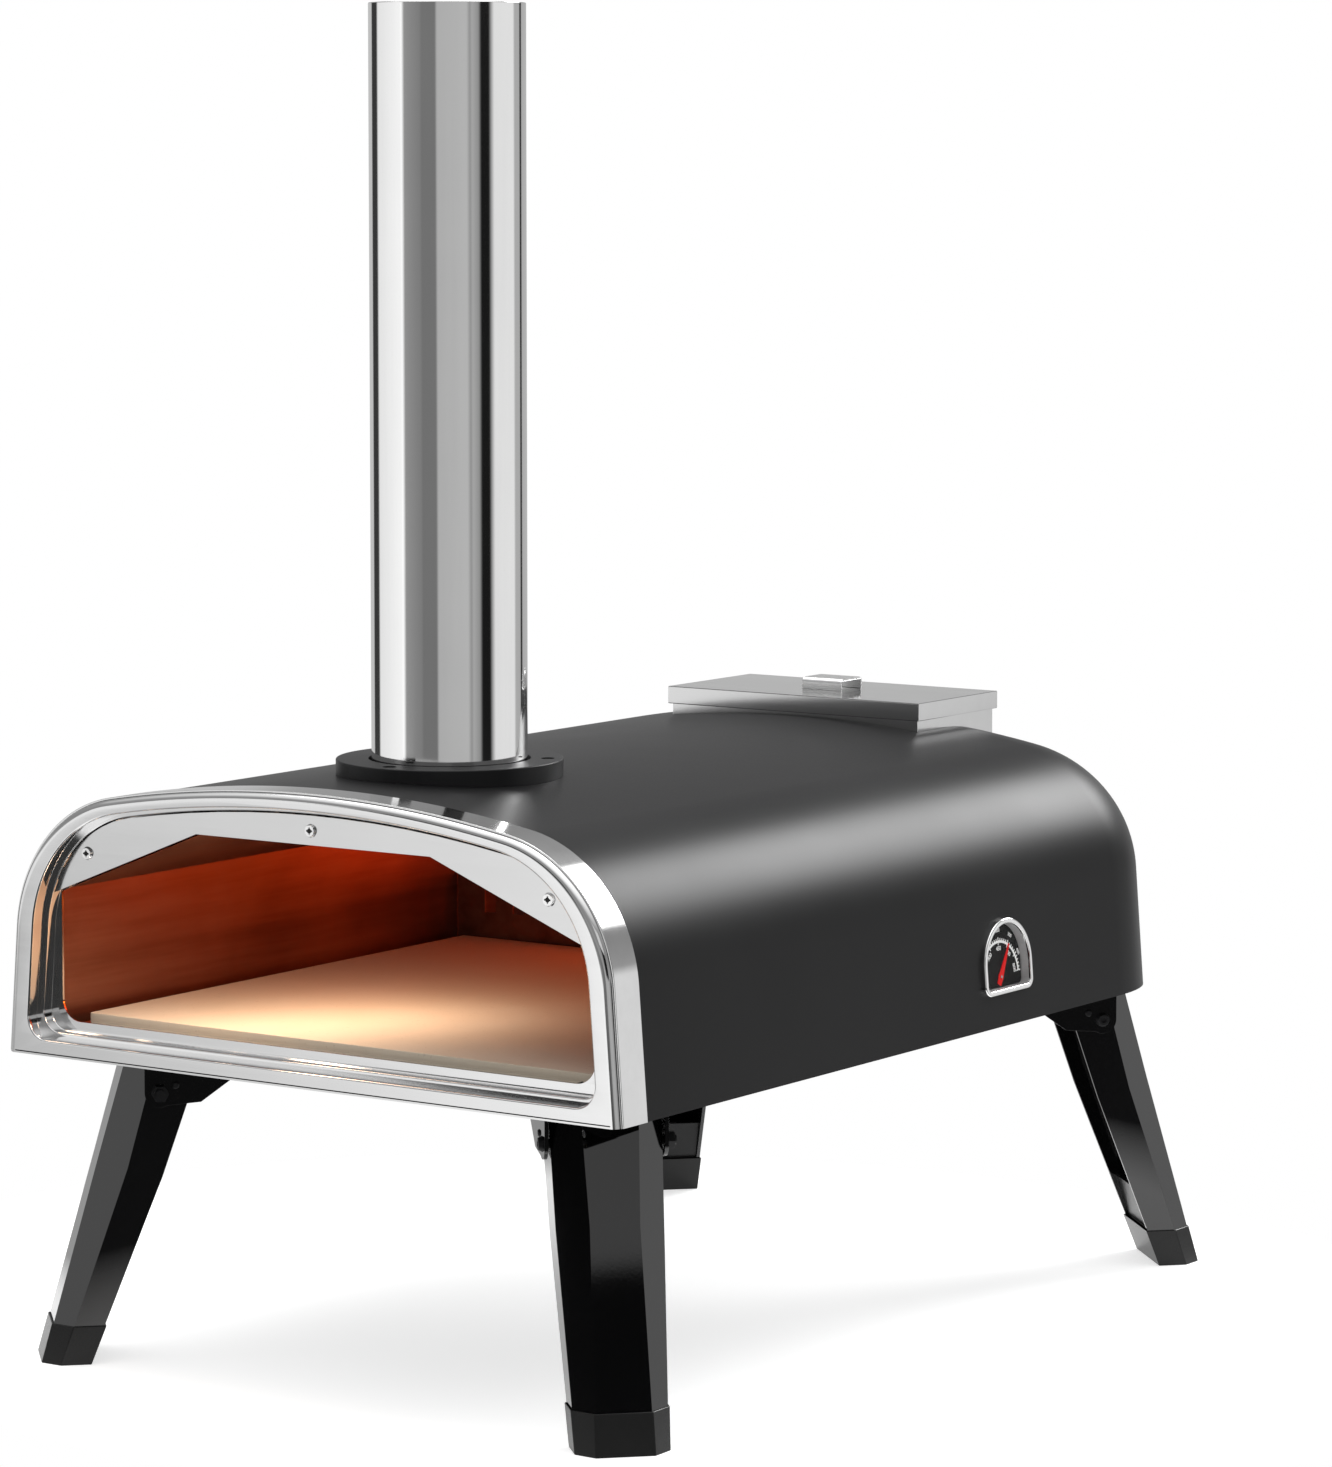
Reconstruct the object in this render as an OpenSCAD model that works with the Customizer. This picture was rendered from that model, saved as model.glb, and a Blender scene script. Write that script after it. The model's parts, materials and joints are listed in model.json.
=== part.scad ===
// Portable wood fired pizza oven: an arched steel body on four folding legs, with a tall
// chimney at the front, a fuel hopper and slide-out fuel tray at the rear, and a stone floor.
// Millimetres. The front faces -Y and the ground is Z = 0.

/* [Body] */
// Outside width of the body along its bottom edge
body_w = 400; // [396:1:404]
// Height of the crown above the body's bottom edge
body_h = 152; // [150:0.5:154]
// Height of the body's bottom edge above the ground
body_z = 168; // [164:1:172]
// Front of the bezel to the outermost corner of the rear feet
overall_d = 604; // [602:1:608]
// Front of the bezel to the rear end of the shell
shell_end = 566; // [562:1:567]
// Inward lean of the body's sides, in degrees
side_lean = 4.4; // [4:0.1:5]
// Radius of the rounded shoulders
shoulder_r = 80; // [76:1:84]
// Radius of the shallow crown
crown_r = 730; // [700:10:760]
// Where the shell starts to roll in towards its rear end
roll_start = 496; // [494:1:498]
// Radius of the rolled rear end
roll_r = 100; // [96:1:110]
// Thickness of the body's sheet metal
sheet = 1.2; // [1:0.1:1.4]

/* [Mouth] */
// Depth of the bezel band around the shell
band_d = 24; // [20:1:28]
// Width of the bezel's face at the sides
face_side = 14; // [12:0.5:15]
// Width of the bezel's face at the crown
face_top = 9; // [8:0.5:10]
// Height of the bezel's face along the bottom
face_floor = 8; // [7:0.5:8.5]
// Clear width between the sides of the mouth
mouth_w = 348; // [346:1:350]
// Depth of the mouth frame's face behind the bezel's face
mouth_y = 16; // [15:0.5:17]

/* [Chimney] */
// Outside diameter of the chimney tube
chimney_dia = 82.7; // [80:0.1:84]
// Height of the chimney's top above the ground
chimney_top = 723.6; // [700:1:740]
// Front of the bezel to the chimney's axis
chimney_y = 128; // [124:1:134]
// Outside diameter of the black flange
flange_dia = 120.6; // [118:0.2:124]

/* [Hopper] */
// Width of the hopper lid, across the body
lid_w = 174; // [170:1:178]
// Front of the bezel to the front edge of the lid
lid_front = 458.3; // [456:0.5:460]
// Front to back length of the lid
lid_d = 87.2; // [85:0.2:88]
// Height of the lid's top above the body's bottom edge
lid_h = 162.9; // [162:0.1:164]

/* [Stone and tray] */
// Side of the square pizza stone
stone_side = 334; // [325:1:338]
// Thickness of the pizza stone
stone_t = 10; // [9:0.5:11]
// Width of the fuel tray's pan
tray_w = 188; // [180:1:190]

/* [Thermometer] */
// Front of the bezel to the thermometer's centre
gauge_y = 373.5; // [362:0.5:388]
// Height of the dial's pivot above the body's bottom edge, along the side
gauge_h = 26.5; // [26:0.5:32]
// Direction of the needle at rest, in degrees above the horizontal
needle_rest = 59; // [20:1:160]

/* [Legs] */
// Sideways distance of each leg's pivot from the centre plane
pivot_x = 148; // [146:0.5:150]
// Front of the bezel to the front pivots
pivot_front = 60; // [58:0.5:62]
// Drop of each pivot below the body's bottom edge
pivot_drop = 21; // [20:0.5:22]
// Outward tilt of the legs, in degrees
leg_tilt = 15.5; // [14:0.5:17]
// Thickness of the legs and brackets
leg_t = 2; // [1.5:0.1:2.2]
// Angle that each leg is drawn at, 0 standing and 105 folded away
leg_fold = 0; // [0:5:105]

/* [Hidden] */
// Smoothness of large and small round parts
$fn = 96;
fine = 48;
// Overlap that keeps cuts clean
cut = 1;
// Step that keeps two surfaces from lying exactly together
hair = 0.02;
// A size that is larger than the body in every direction
beyond = 700;

front_y = -overall_d/2;
half_w = body_w/2;
crown_z = body_h - crown_r;

// Shell: it lies inside the bezel band, which is one sheet thick
band_t = 1;
shell_front = 5;
shell_in = band_t + sheet;
// Thinning of the shell's sides and crown against its shoulders, on each face
shell_step = 0.12;
roll_drop = roll_r - sqrt(pow(roll_r, 2) - pow(shell_end - roll_start, 2));
hem = 10;
rear_screw_r = 1.6;

// Bezel face: a flat ring with a rounded outer edge, set just inside the band
bead_gap = 1.1;
bead_r = 4;
ring_in = 9;
band_front = 3.2;
recess_y = 9.4;
// Mouth outlines: half width, crown height, shoulder radius, floor height, corner radius
bezel_hole = [half_w - face_side, body_h - face_top, 70, face_floor, 12];
frame_hole = [bezel_hole[0] - 2.5, bezel_hole[1] - 2.5, 67.5, face_floor + 3, 11];
mouth_hole = [mouth_w/2, 0, 0, 16.6, 12];
baffle_y = recess_y + 0.3;
// Ceiling line: where it leaves the vertical side, and where it turns flat
eave = [mouth_w/2, 86];
ridge = [76.2, 124.4];
baffle_screws_at = [[-150.2, 108.7], [0, 131.9], [150.2, 108.7]];

// Liner: a tunnel just outside the ceiling line
liner_gap = 1.2;
liner_y0 = mouth_y + sheet;
liner_y1 = 540;
liner_top = ridge[1] + 2*liner_gap;

// Base
base_h = 0.8;
base_top = base_h + sheet;
// Half width of the base at its rear end, inside the rolled-in shell
base_tail = half_w - shell_in - roll_drop - 2;

// Flue
collar_r = chimney_dia/2 - 1.05;
chimney_wall = 1;
chimney_foot = body_h - 0.8;
collar_top = body_h + 28;
flange_r = flange_dia/2;
flange_top = body_h + 6.3;
flange_pcd_r = 52.25;
flange_angles = [30, 150, 270];
flange_screw_r = 1.8;

// Hopper
lid_y = lid_front + lid_d/2;
skirt_h = 10.3;
box_gap = 2;
box_top = lid_h - sheet - 0.1;
box_floor = 64;
lid_handle_w = 27;
lid_handle_d = 23;
lid_handle_h = 7;

// Stone
stone_front = 29;
stone_h = 9.6;
rail_x = 98;
guard_y = stone_front + stone_side + 4;

// Fuel tray and its window in the rear panel
rear_y = shell_end - sheet;
tray_front_y = 446;
tray_floor = 15;
tray_top = 57;
plate_y = rear_y + 0.2;
window_w = tray_w + 6;

// Thermometer: heights are above the pivot, offsets are out from the side
dial_r = 25.2;
dial_flat = 8.6;
dial_rise = 7.4;
rim_w = 2.8;
rim_out = 2.2;
cup_t = 0.8;
cup_depth = 5.4;
dial_at = cup_t - cup_depth;
dial_t = 0.5;
lens_t = 0.6;
lens_at = rim_out - 1.4;
needle_at = dial_at + dial_t + 0.3;
stem_r = 3;
stem_tip = -36;
// Growth of the shell's opening over the dial's outline, which clears the cup
cup_fit = -rim_w + cup_t + 0.1;

// Legs: each section is centre face width, chamfer leg, depth
leg_out = 20.5;
section_top = [31, 14, 38.5];
section_kink = [25.6, 15, 34.2];
section_foot = [30, 8, 21.5];
kink_at = -44;
foot_at = -170;
top_at = 32;
pivot_z = body_z - pivot_drop;
bolt_r = 2.5;
bolt_fit = 0.05;
bracket_in = section_top[0]/2 + section_top[1] + 0.4;
bracket_t = leg_t;
foot_cap_h = 21;
foot_tongue_h = 44;
foot_sole = 3;
foot_skin = 0.9;
// The sole's corner is the outermost point of the whole oven, along the diagonal and across
foot_reach = (leg_out + foot_skin)/cos(leg_tilt) + pivot_z*tan(leg_tilt);
foot_half = section_foot[0]/2 + foot_skin*tan(22.5);
pivot_rear = overall_d - (foot_reach + foot_half)/sqrt(2);
LEG_ANGLES = [-45, 45, 135, -135];
LEG_AT = [[pivot_x, pivot_front], [pivot_x, pivot_rear], [-pivot_x, pivot_rear], [-pivot_x, pivot_front]];

// ---- Outlines ----

function arc(c, r, a0, a1, n) = [for (i = [0:n]) let (a = a0 + (a1 - a0)*i/n) c + r*[cos(a), sin(a)]];

// Centre of the shoulder that joins a side leaving the floor at hw to a crown of height top
function shoulder(hw, top, rs) =
    let (n = [cos(side_lean), sin(side_lean)], d = [-sin(side_lean), cos(side_lean)],
         q = [hw, -crown_z] - rs*n, b = q*d, c = q*q - pow(top - crown_z - rs, 2))
    [hw, 0] - rs*n + (sqrt(b*b - c) - b)*d;

// Angle between the vertical and the line where the shoulder meets the crown
function crown_half(hw, top, rs) = asin(shoulder(hw, top, rs).x/(top - crown_z - rs));

function mirrored(half) =
    concat(half, [for (i = [len(half) - 2:-1:0]) [-half[i].x, half[i].y]]);

// Arch outline from its bottom right corner over the crown, with square bottom corners
function arch_points(hw, top, rs) =
    let (phi = crown_half(hw, top, rs))
    mirrored(concat([[hw, 0]], arc(shoulder(hw, top, rs), rs, side_lean, 90 - phi, 24),
                    arc([0, crown_z], top - crown_z, 90 - phi, 90, 6)));

// The same arch with its bottom raised to a floor and its bottom corners rounded
function hole_points(h) =
    let (phi = crown_half(h[0], h[1], h[2]), cz = h[3] + h[4],
         cx = h[0] - (h[4] + sin(side_lean)*cz)/cos(side_lean))
    mirrored(concat(arc([cx, cz], h[4], -90, side_lean, 8),
                    arc(shoulder(h[0], h[1], h[2]), h[2], side_lean, 90 - phi, 24),
                    arc([0, crown_z], h[1] - crown_z, 90 - phi, 90, 6)));

function shrink(h, t) = [h[0] - t, h[1] - t, h[2] - t, h[3] + t, h[4] - t];

// An arch that lies everywhere the same distance inside the body's outline
module inset_arch(t) {
    polygon(arch_points(half_w - t/cos(side_lean), body_h - t, shoulder_r - t));
}

module hole(h) {
    polygon(hole_points(h));
}

// Outline of the tunnel: vertical sides, sloping ceiling and flat ridge, grown by t
module tunnel(t, floor_h) {
    slope = atan2(ridge[1] - eave[1], eave[0] - ridge[0]);
    up = t*tan((90 - slope)/2);
    in = t*tan(slope/2);
    polygon([[-eave[0] - t, floor_h], [eave[0] + t, floor_h],
             [eave[0] + t, eave[1] + up], [ridge[0] + in, ridge[1] + t],
             [-ridge[0] - in, ridge[1] + t], [-eave[0] - t, eave[1] + up]]);
}

// The mouth: the tunnel's outline with rounded bottom corners
module mouth() {
    r = mouth_hole[4];
    x = mouth_hole[0] - r;
    z = mouth_hole[3] + r;
    polygon(mirrored(concat(arc([x, z], r, -90, 0, 8), [eave, ridge, [0, ridge[1]]])));
}

// ---- Placing ----

module at_body() {
    translate([0, front_y, body_z]) children();
}

// Stands a flat outline up and gives it depth from y0 to y1
module along_y(y0, y1) {
    translate([0, y1, 0]) rotate([90, 0, 0]) linear_extrude(y1 - y0) children();
}

// Carries a thin section around the body's arch. In the section, x is the distance out from
// the body's outline, so it is negative inside, and y is the distance behind the bezel. The
// shoulders take the first child. The sides and the crown take the second, which is slimmer
// by a hair, so that they run cleanly into the shoulders.
module around_arch() {
    c = shoulder(half_w, body_h, shoulder_r);
    phi = crown_half(half_w, body_h, shoulder_r);
    side_length = norm([c.x + shoulder_r*cos(side_lean) - half_w, c.y + shoulder_r*sin(side_lean)]);
    below = 2;
    lap = 0.5;
    lap_angle = lap/crown_r*180/PI;
    for (side = [0, 1]) mirror([side, 0, 0]) {
        translate([half_w, 0, 0]) rotate([0, -side_lean, 0]) translate([0, 0, -below])
            linear_extrude(side_length + below + lap) children(1);
        translate([c.x, 0, c.y]) rotate([-90, 0, 0])
            rotate_extrude(angle = 90 - phi - side_lean, start = phi - 90)
            translate([shoulder_r, 0]) children(0);
    }
    translate([0, 0, crown_z]) rotate([-90, 0, 0])
        rotate_extrude(angle = 2*(phi + lap_angle), start = -90 - phi - lap_angle, $fn = 720)
        translate([crown_r, 0]) children(1);
}

module below_body() {
    translate([-beyond/2, -beyond/2, -beyond]) cube([beyond, 2*beyond, beyond]);
}

module screw(r, head_r, head_h, length) {
    cylinder(r = r, h = length, $fn = fine);
    translate([0, 0, -head_h]) difference() {
        cylinder(r1 = head_r*0.8, r2 = head_r, h = head_h, $fn = fine);
        for (a = [0, 90]) rotate(a)
            translate([-head_r*0.55, -head_r*0.12, -cut]) cube([head_r*1.1, head_r*0.24, cut + head_h*0.5]);
    }
}

// ---- Body ----

module shell_section(slim) {
    translate([-shell_in + slim, shell_front]) square([sheet - 2*slim, roll_start - shell_front]);
    intersection() {
        translate([-band_t - roll_r, roll_start]) difference() {
            circle(roll_r - slim, $fn = 180);
            circle(roll_r - sheet + slim, $fn = 180);
        }
        translate([-shell_in - roll_drop - sheet, roll_start])
            square([roll_drop + 3*sheet, shell_end - roll_start]);
    }
    translate([-shell_in - roll_drop - hem + slim, shell_end - sheet]) square([hem + sheet/2, sheet]);
}

module outer_shell() {
    color("#333333") at_body() difference() {
        around_arch() {
            shell_section(0);
            shell_section(shell_step);
        }
        below_body();
        translate([0, chimney_y, body_h/2]) cylinder(r = chimney_dia/2 + 1.6, h = body_h);
        translate([-lid_w/2 + box_gap, lid_front + box_gap, body_h/2])
            cube([lid_w - 2*box_gap, lid_d - 2*box_gap, body_h]);
        at_gauge() outward(-4*sheet, 4*sheet) dee(cup_fit);
        rear_screw_places() cylinder(r = rear_screw_r, h = 8*sheet, center = true, $fn = fine);
        translate([0, chimney_y, body_h/2]) flange_places()
            cylinder(r = flange_screw_r, h = body_h, $fn = fine);
    }
}

// Flat floor of the body, with a flange up each side
module base_plate() {
    inner = half_w - shell_in - 0.4;
    intake_x = 60;
    color("#3a3a3a") difference() {
        at_body() {
            translate([0, 0, base_h]) linear_extrude(sheet)
                polygon([[-inner, mouth_y + 2], [inner, mouth_y + 2], [inner, roll_start],
                         [base_tail, rear_y - sheet - 0.5], [-base_tail, rear_y - sheet - 0.5],
                         [-inner, roll_start]]);
            for (side = [0, 1]) mirror([side, 0, 0]) translate([inner, 0, 0]) rotate([0, -side_lean, 0])
                translate([-sheet, band_d, base_top - 0.4]) cube([sheet, roll_start - band_d, 10]);
        }
        at_body() for (x = [-1, 1], y = [140:70:420]) translate([x*intake_x, y, 0])
            cylinder(r = 4, h = 2*base_top, $fn = fine);
        for (i = [0:3]) at_corner(i) bracket_screw_places() cylinder(r = 2, h = 4*bracket_t, $fn = fine);
    }
}

module rear_panel() {
    color("#3a3a3a") at_body() difference() {
        along_y(rear_y - sheet, rear_y) difference() {
            inset_arch(shell_in + roll_drop + 1.5);
            translate([-beyond/2, -cut]) square([beyond, base_top + cut + 0.3]);
            translate([-window_w/2, tray_floor - 3]) square([window_w, tray_top - tray_floor + 6]);
            for (x = [-1, 1], i = [0:6]) translate([x*125, 30 + 8*i]) square([34, 3], center = true);
        }
        rear_screw_places() cylinder(r = rear_screw_r, h = 8*sheet, center = true, $fn = fine);
    }
}

// Six screws through the shell's hem: two low, two at the shoulders and two on the crown
module rear_screw_places() {
    inset = shell_in + roll_drop + hem/2;
    c = shoulder(half_w, body_h, shoulder_r);
    places = [[half_w - inset - 2.4, 20], c + (shoulder_r - inset)*[cos(45), sin(45)],
              [60, crown_z + sqrt(pow(crown_r - inset, 2) - pow(60, 2))]];
    for (side = [-1, 1], p = places) translate([side*p.x, shell_end, p.y]) rotate([90, 0, 0]) children();
}

module rear_screws() {
    color("silver") at_body() rear_screw_places() screw(rear_screw_r, 3.2, 1.6, 3*sheet);
}

// ---- Mouth ----

module band_section(slim) {
    translate([-band_t + slim, band_front]) square([band_t - 2*slim, band_d - band_front]);
}

module bezel_band() {
    color("gainsboro") at_body() difference() {
        around_arch() {
            band_section(0);
            band_section(hair);
        }
        below_body();
    }
}

// Rounded outer edge of the bezel's face, and the outer part of its flat
module bead_section(slim) {
    c = [-bead_gap - bead_r, bead_r];
    polygon(concat(arc(c, bead_r - slim, -90, 0, 8), arc(c, bead_r - sheet + slim, 0, -90, 8),
                   [[-ring_in, sheet - slim], [-ring_in, slim]]));
}

module bezel_face() {
    color("gainsboro") at_body() difference() {
        union() {
            around_arch() {
                bead_section(0);
                bead_section(hair);
            }
            along_y(hair, sheet - hair) inset_arch(ring_in - 2);
            along_y(2*hair, recess_y) hole(shrink(bezel_hole, -sheet));
            translate([-half_w + 8, 2*hair, -cut]) cube([body_w - 16, recess_y + 2, cut + sheet]);
        }
        below_body();
        along_y(-cut, recess_y + cut) hole(bezel_hole);
    }
}

// Steps in from the bezel, frames the mouth with a flat face, and turns back into a short lip
module mouth_frame() {
    lip = 7.4;
    color("lightgray") at_body() {
        along_y(recess_y, recess_y + sheet/2) difference() {
            hole(shrink(bezel_hole, -sheet));
            hole(frame_hole);
        }
        along_y(recess_y + sheet/2, mouth_y) difference() {
            hole(shrink(frame_hole, -sheet));
            hole(frame_hole);
        }
        difference() {
            along_y(mouth_y, mouth_y + sheet) difference() {
                hole(shrink(frame_hole, -sheet));
                mouth();
            }
            for (p = baffle_screws_at) translate([p.x, 0, p.y]) rotate([-90, 0, 0])
                cylinder(r = 1.5, h = 2*mouth_y, $fn = fine);
        }
        translate([-mouth_w/2 + 12, mouth_y, mouth_hole[3] - sheet]) cube([mouth_w - 24, lip, sheet]);
    }
}

module baffle_panel() {
    color("gainsboro") at_body() difference() {
        along_y(baffle_y, baffle_y + sheet) difference() {
            hole(shrink(frame_hole, 0.8));
            polygon([[-beyond, eave[1] - beyond], [beyond, eave[1] - beyond],
                     [beyond, -0.4*(beyond - eave[0]) + eave[1]], eave, ridge,
                     [-ridge[0], ridge[1]], [-eave[0], eave[1]],
                     [-beyond, -0.4*(beyond - eave[0]) + eave[1]]]);
        }
        for (p = baffle_screws_at) translate([p.x, 0, p.y]) rotate([-90, 0, 0])
            cylinder(r = 1.5, h = 2*mouth_y, $fn = fine);
    }
}

module baffle_screws() {
    color("white") at_body() for (p = baffle_screws_at) translate([p.x, baffle_y, p.y])
        rotate([-90, 0, 0]) screw(1.5, 3.6, 1.5, 10);
}

// ---- Chamber ----

module inner_liner() {
    color("#8a2a10") at_body() difference() {
        along_y(liner_y0, liner_y1) difference() {
            tunnel(liner_gap + sheet, base_top);
            tunnel(liner_gap, base_top - cut);
        }
        translate([0, chimney_y, eave[1]]) cylinder(r = collar_r - 1.2, h = body_h);
        translate([-lid_w/2 + box_gap, lid_front + box_gap, box_floor])
            cube([lid_w - 2*box_gap, lid_d - 2*box_gap, body_h]);
        at_gauge() rotate([0, -90, 0]) cylinder(r = stem_r + 0.5, h = half_w/2, $fn = fine);
    }
}

// Fibre blanket that fills the space between the liner and the shell
module insulation() {
    rear = lid_front - 6;
    color("ivory") at_body() difference() {
        along_y(band_d, rear) difference() {
            inset_arch(shell_in + 2);
            tunnel(liner_gap + sheet + 0.4, -cut);
            translate([-beyond/2, -cut]) square([beyond, 14 + cut]);
        }
        translate([0, chimney_y, eave[1]]) cylinder(r = chimney_dia/2 + 3, h = body_h);
        at_gauge() outward(-half_w/4, 0) dee(-rim_w + 2.5);
    }
}

// Upright plate between the stone and the fire, open above so that the flames roll over it
module flame_guard() {
    top = 56;
    color("#555555") at_body() {
        along_y(guard_y, guard_y + sheet) difference() {
            translate([-eave[0], base_top]) square([2*eave[0], top - base_top]);
            for (x = [-150:20:150]) translate([x, top - 14]) square([8, 16], center = true);
        }
        translate([-eave[0], guard_y + sheet, base_top]) cube([2*eave[0], 12, sheet]);
    }
}

// Two hat-shaped rails under the stone
module stone_rails() {
    foot = 8;
    half = 9;
    color("silver") at_body() for (x = [-rail_x, rail_x]) translate([x, 0, 0])
        along_y(stone_front + 4, stone_front + stone_side - 4) difference() {
            polygon([[-half - foot, base_top], [half + foot, base_top],
                     [half + foot, base_top + sheet], [half, base_top + sheet], [half, stone_h],
                     [-half, stone_h], [-half, base_top + sheet], [-half - foot, base_top + sheet]]);
            translate([-half + sheet, base_top - cut])
                square([2*(half - sheet), stone_h - base_top - sheet + cut]);
        }
}

module pizza_stone() {
    edge = 2;
    color("#e8ddc6") at_body() translate([-stone_side/2 + edge, stone_front + edge, stone_h])
        union() {
            translate([0, -edge, 0]) cube([stone_side - 2*edge, stone_side, stone_t]);
            translate([-edge, 0, 0]) cube([stone_side, stone_side - 2*edge, stone_t]);
            for (x = [0, stone_side - 2*edge], y = [0, stone_side - 2*edge])
                translate([x, y, 0]) cylinder(r = edge, h = stone_t, $fn = fine);
        }
}

// ---- Chimney ----

// Spigot that the chimney slips over, with a bead that the tube rests on
module flue_collar() {
    bead = 2;
    color("silver") at_body() translate([0, chimney_y, 0]) difference() {
        union() {
            translate([0, 0, liner_top]) cylinder(r = collar_r, h = collar_top - liner_top);
            translate([0, 0, chimney_foot - bead]) cylinder(r = chimney_dia/2 + 0.8, h = bead);
            translate([0, 0, liner_top]) cylinder(r = collar_r + 1.4, h = sheet);
        }
        cylinder(r = collar_r - sheet, h = beyond);
    }
}

module flange_places() {
    for (a = flange_angles) rotate(a) translate([flange_pcd_r, 0, 0]) children();
}

module chimney_flange() {
    color("#1c1c1c") at_body() difference() {
        translate([0, chimney_y, body_h - 6]) difference() {
            cylinder(r = flange_r, h = flange_top - body_h + 6);
            translate([0, 0, -cut]) cylinder(r = chimney_dia/2 + 1.6, h = body_h);
            flange_places() {
                cylinder(r = flange_screw_r, h = body_h, $fn = fine);
                translate([0, 0, flange_top - body_h + 3.6]) cylinder(r = 3.7, h = body_h, $fn = fine);
            }
        }
        translate([0, 0, crown_z]) rotate([-90, 0, 0])
            cylinder(r = crown_r - band_t + 0.05, h = beyond, $fn = 720, center = true);
    }
}

module flange_screws() {
    color("#1c1c1c") at_body() translate([0, chimney_y, flange_top - 2.4])
        flange_places() rotate([180, 0, 0]) screw(flange_screw_r, 3.4, 1.8, 7);
}

module chimney_tube() {
    color("whitesmoke") at_body() translate([0, chimney_y, chimney_foot]) difference() {
        cylinder(r = chimney_dia/2, h = chimney_top - body_z - chimney_foot);
        translate([0, 0, -cut]) cylinder(r = chimney_dia/2 - chimney_wall, h = beyond);
    }
}

// ---- Hopper ----

module hopper_chute() {
    w = lid_w - 2*box_gap - 0.2;
    d = lid_d - 2*box_gap - 0.2;
    color("lightgray") at_body() translate([0, lid_y, box_floor]) linear_extrude(box_top - box_floor)
        difference() {
            square([w, d], center = true);
            square([w - 2*sheet, d - 2*sheet], center = true);
        }
}

module hopper_lid() {
    color("lightgray") at_body() translate([0, lid_y, lid_h - skirt_h]) difference() {
        translate([-lid_w/2, -lid_d/2, 0]) cube([lid_w, lid_d, skirt_h]);
        translate([-lid_w/2 + sheet, -lid_d/2 + sheet, -cut])
            cube([lid_w - 2*sheet, lid_d - 2*sheet, skirt_h - sheet + cut]);
    }
}

// Shallow pan under the lid that plugs the chute's mouth
module lid_plug() {
    w = lid_w - 2*box_gap - 2*sheet - 3;
    d = lid_d - 2*box_gap - 2*sheet - 3;
    depth = 11;
    color("silver") at_body() translate([0, lid_y, lid_h - sheet - depth]) difference() {
        translate([-w/2, -d/2, 0]) cube([w, d, depth]);
        translate([-w/2 + sheet, -d/2 + sheet, sheet]) cube([w - 2*sheet, d - 2*sheet, depth]);
    }
}

// Low strap, bent down to the lid at its front and back
module lid_handle() {
    r = 3;
    t = 1.4;
    color("gainsboro") at_body() translate([-lid_handle_w/2, lid_y, lid_h])
        rotate([90, 0, 90]) linear_extrude(lid_handle_w) difference() {
            union() {
                translate([-lid_handle_d/2, 0]) square([lid_handle_d, lid_handle_h - r]);
                translate([-lid_handle_d/2 + r, 0]) square([lid_handle_d - 2*r, lid_handle_h]);
                for (y = [-1, 1]) translate([y*(lid_handle_d/2 - r), lid_handle_h - r]) circle(r, $fn = fine);
            }
            translate([-lid_handle_d/2 + t, -cut]) square([lid_handle_d - 2*t, lid_handle_h - t + cut]);
        }
}

// ---- Fuel tray ----

module tray_slots(w, d, across, deep) {
    for (i = [0:across - 1], j = [0:deep - 1])
        translate([w*((i + 0.5)/across - 0.5), d*((j + 0.5)/deep - 0.5)])
            square([w/across*0.45, d/deep*0.72], center = true);
}

module tray_pan() {
    d = plate_y - tray_front_y;
    wall = tray_top - tray_floor - sheet;
    color("silver") at_body() translate([0, tray_front_y, tray_floor]) {
        linear_extrude(sheet) difference() {
            translate([-tray_w/2, 0]) square([tray_w, d]);
            translate([0, d/2]) tray_slots(tray_w - 16, d - 14, 18, 4);
        }
        along_y(0, sheet) difference() {
            translate([-tray_w/2, sheet]) square([tray_w, wall]);
            translate([0, wall/2 + sheet]) tray_slots(tray_w - 16, wall - 12, 18, 1);
        }
        for (x = [-tray_w/2, tray_w/2 - sheet]) translate([x, sheet, sheet]) cube([sheet, d - sheet, wall]);
    }
}

module tray_plate() {
    w = window_w + 14;
    color("lightgray") at_body() {
        translate([-w/2, plate_y, tray_floor - 8]) cube([w, sheet, tray_top - tray_floor + 16]);
        translate([-w/2, plate_y, tray_top + 8 - sheet]) cube([w, 9, sheet]);
    }
}

module tray_handle() {
    w = 34;
    reach = 24;
    color("silver") at_body() translate([-w/2, plate_y + sheet, (tray_floor + tray_top)/2]) difference() {
        union() {
            translate([0, 0, -7]) cube([w, sheet, 14]);
            translate([0, 0, -sheet/2]) cube([w, reach, sheet]);
            translate([0, reach - sheet, -6]) cube([w, sheet, 6]);
        }
        for (x = [8, w - 8]) translate([x, -cut, 4]) rotate([-90, 0, 0])
            cylinder(r = 1.4, h = sheet + 2*cut, $fn = fine);
    }
}

// Two angles that the tray slides on, inside the rear window
module tray_rails() {
    w = window_w/2 - 0.6;
    color("silver") at_body() for (side = [0, 1]) mirror([side, 0, 0])
        along_y(tray_front_y - 6, rear_y - sheet - 0.6)
        polygon([[w - 14, tray_floor - 0.3], [w - 14, tray_floor - 0.3 - sheet],
                 [w - sheet, tray_floor - 0.3 - sheet], [w - sheet, base_top],
                 [w, base_top], [w, tray_floor - 0.3]]);
}

// ---- Thermometer ----

// Local frame of the dial: x out from the shell's side, y along the body, z up the side
module at_gauge() {
    translate([half_w, gauge_y, 0]) rotate([0, -side_lean, 0])
        translate([-band_t, 0, gauge_h]) children();
}

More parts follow.
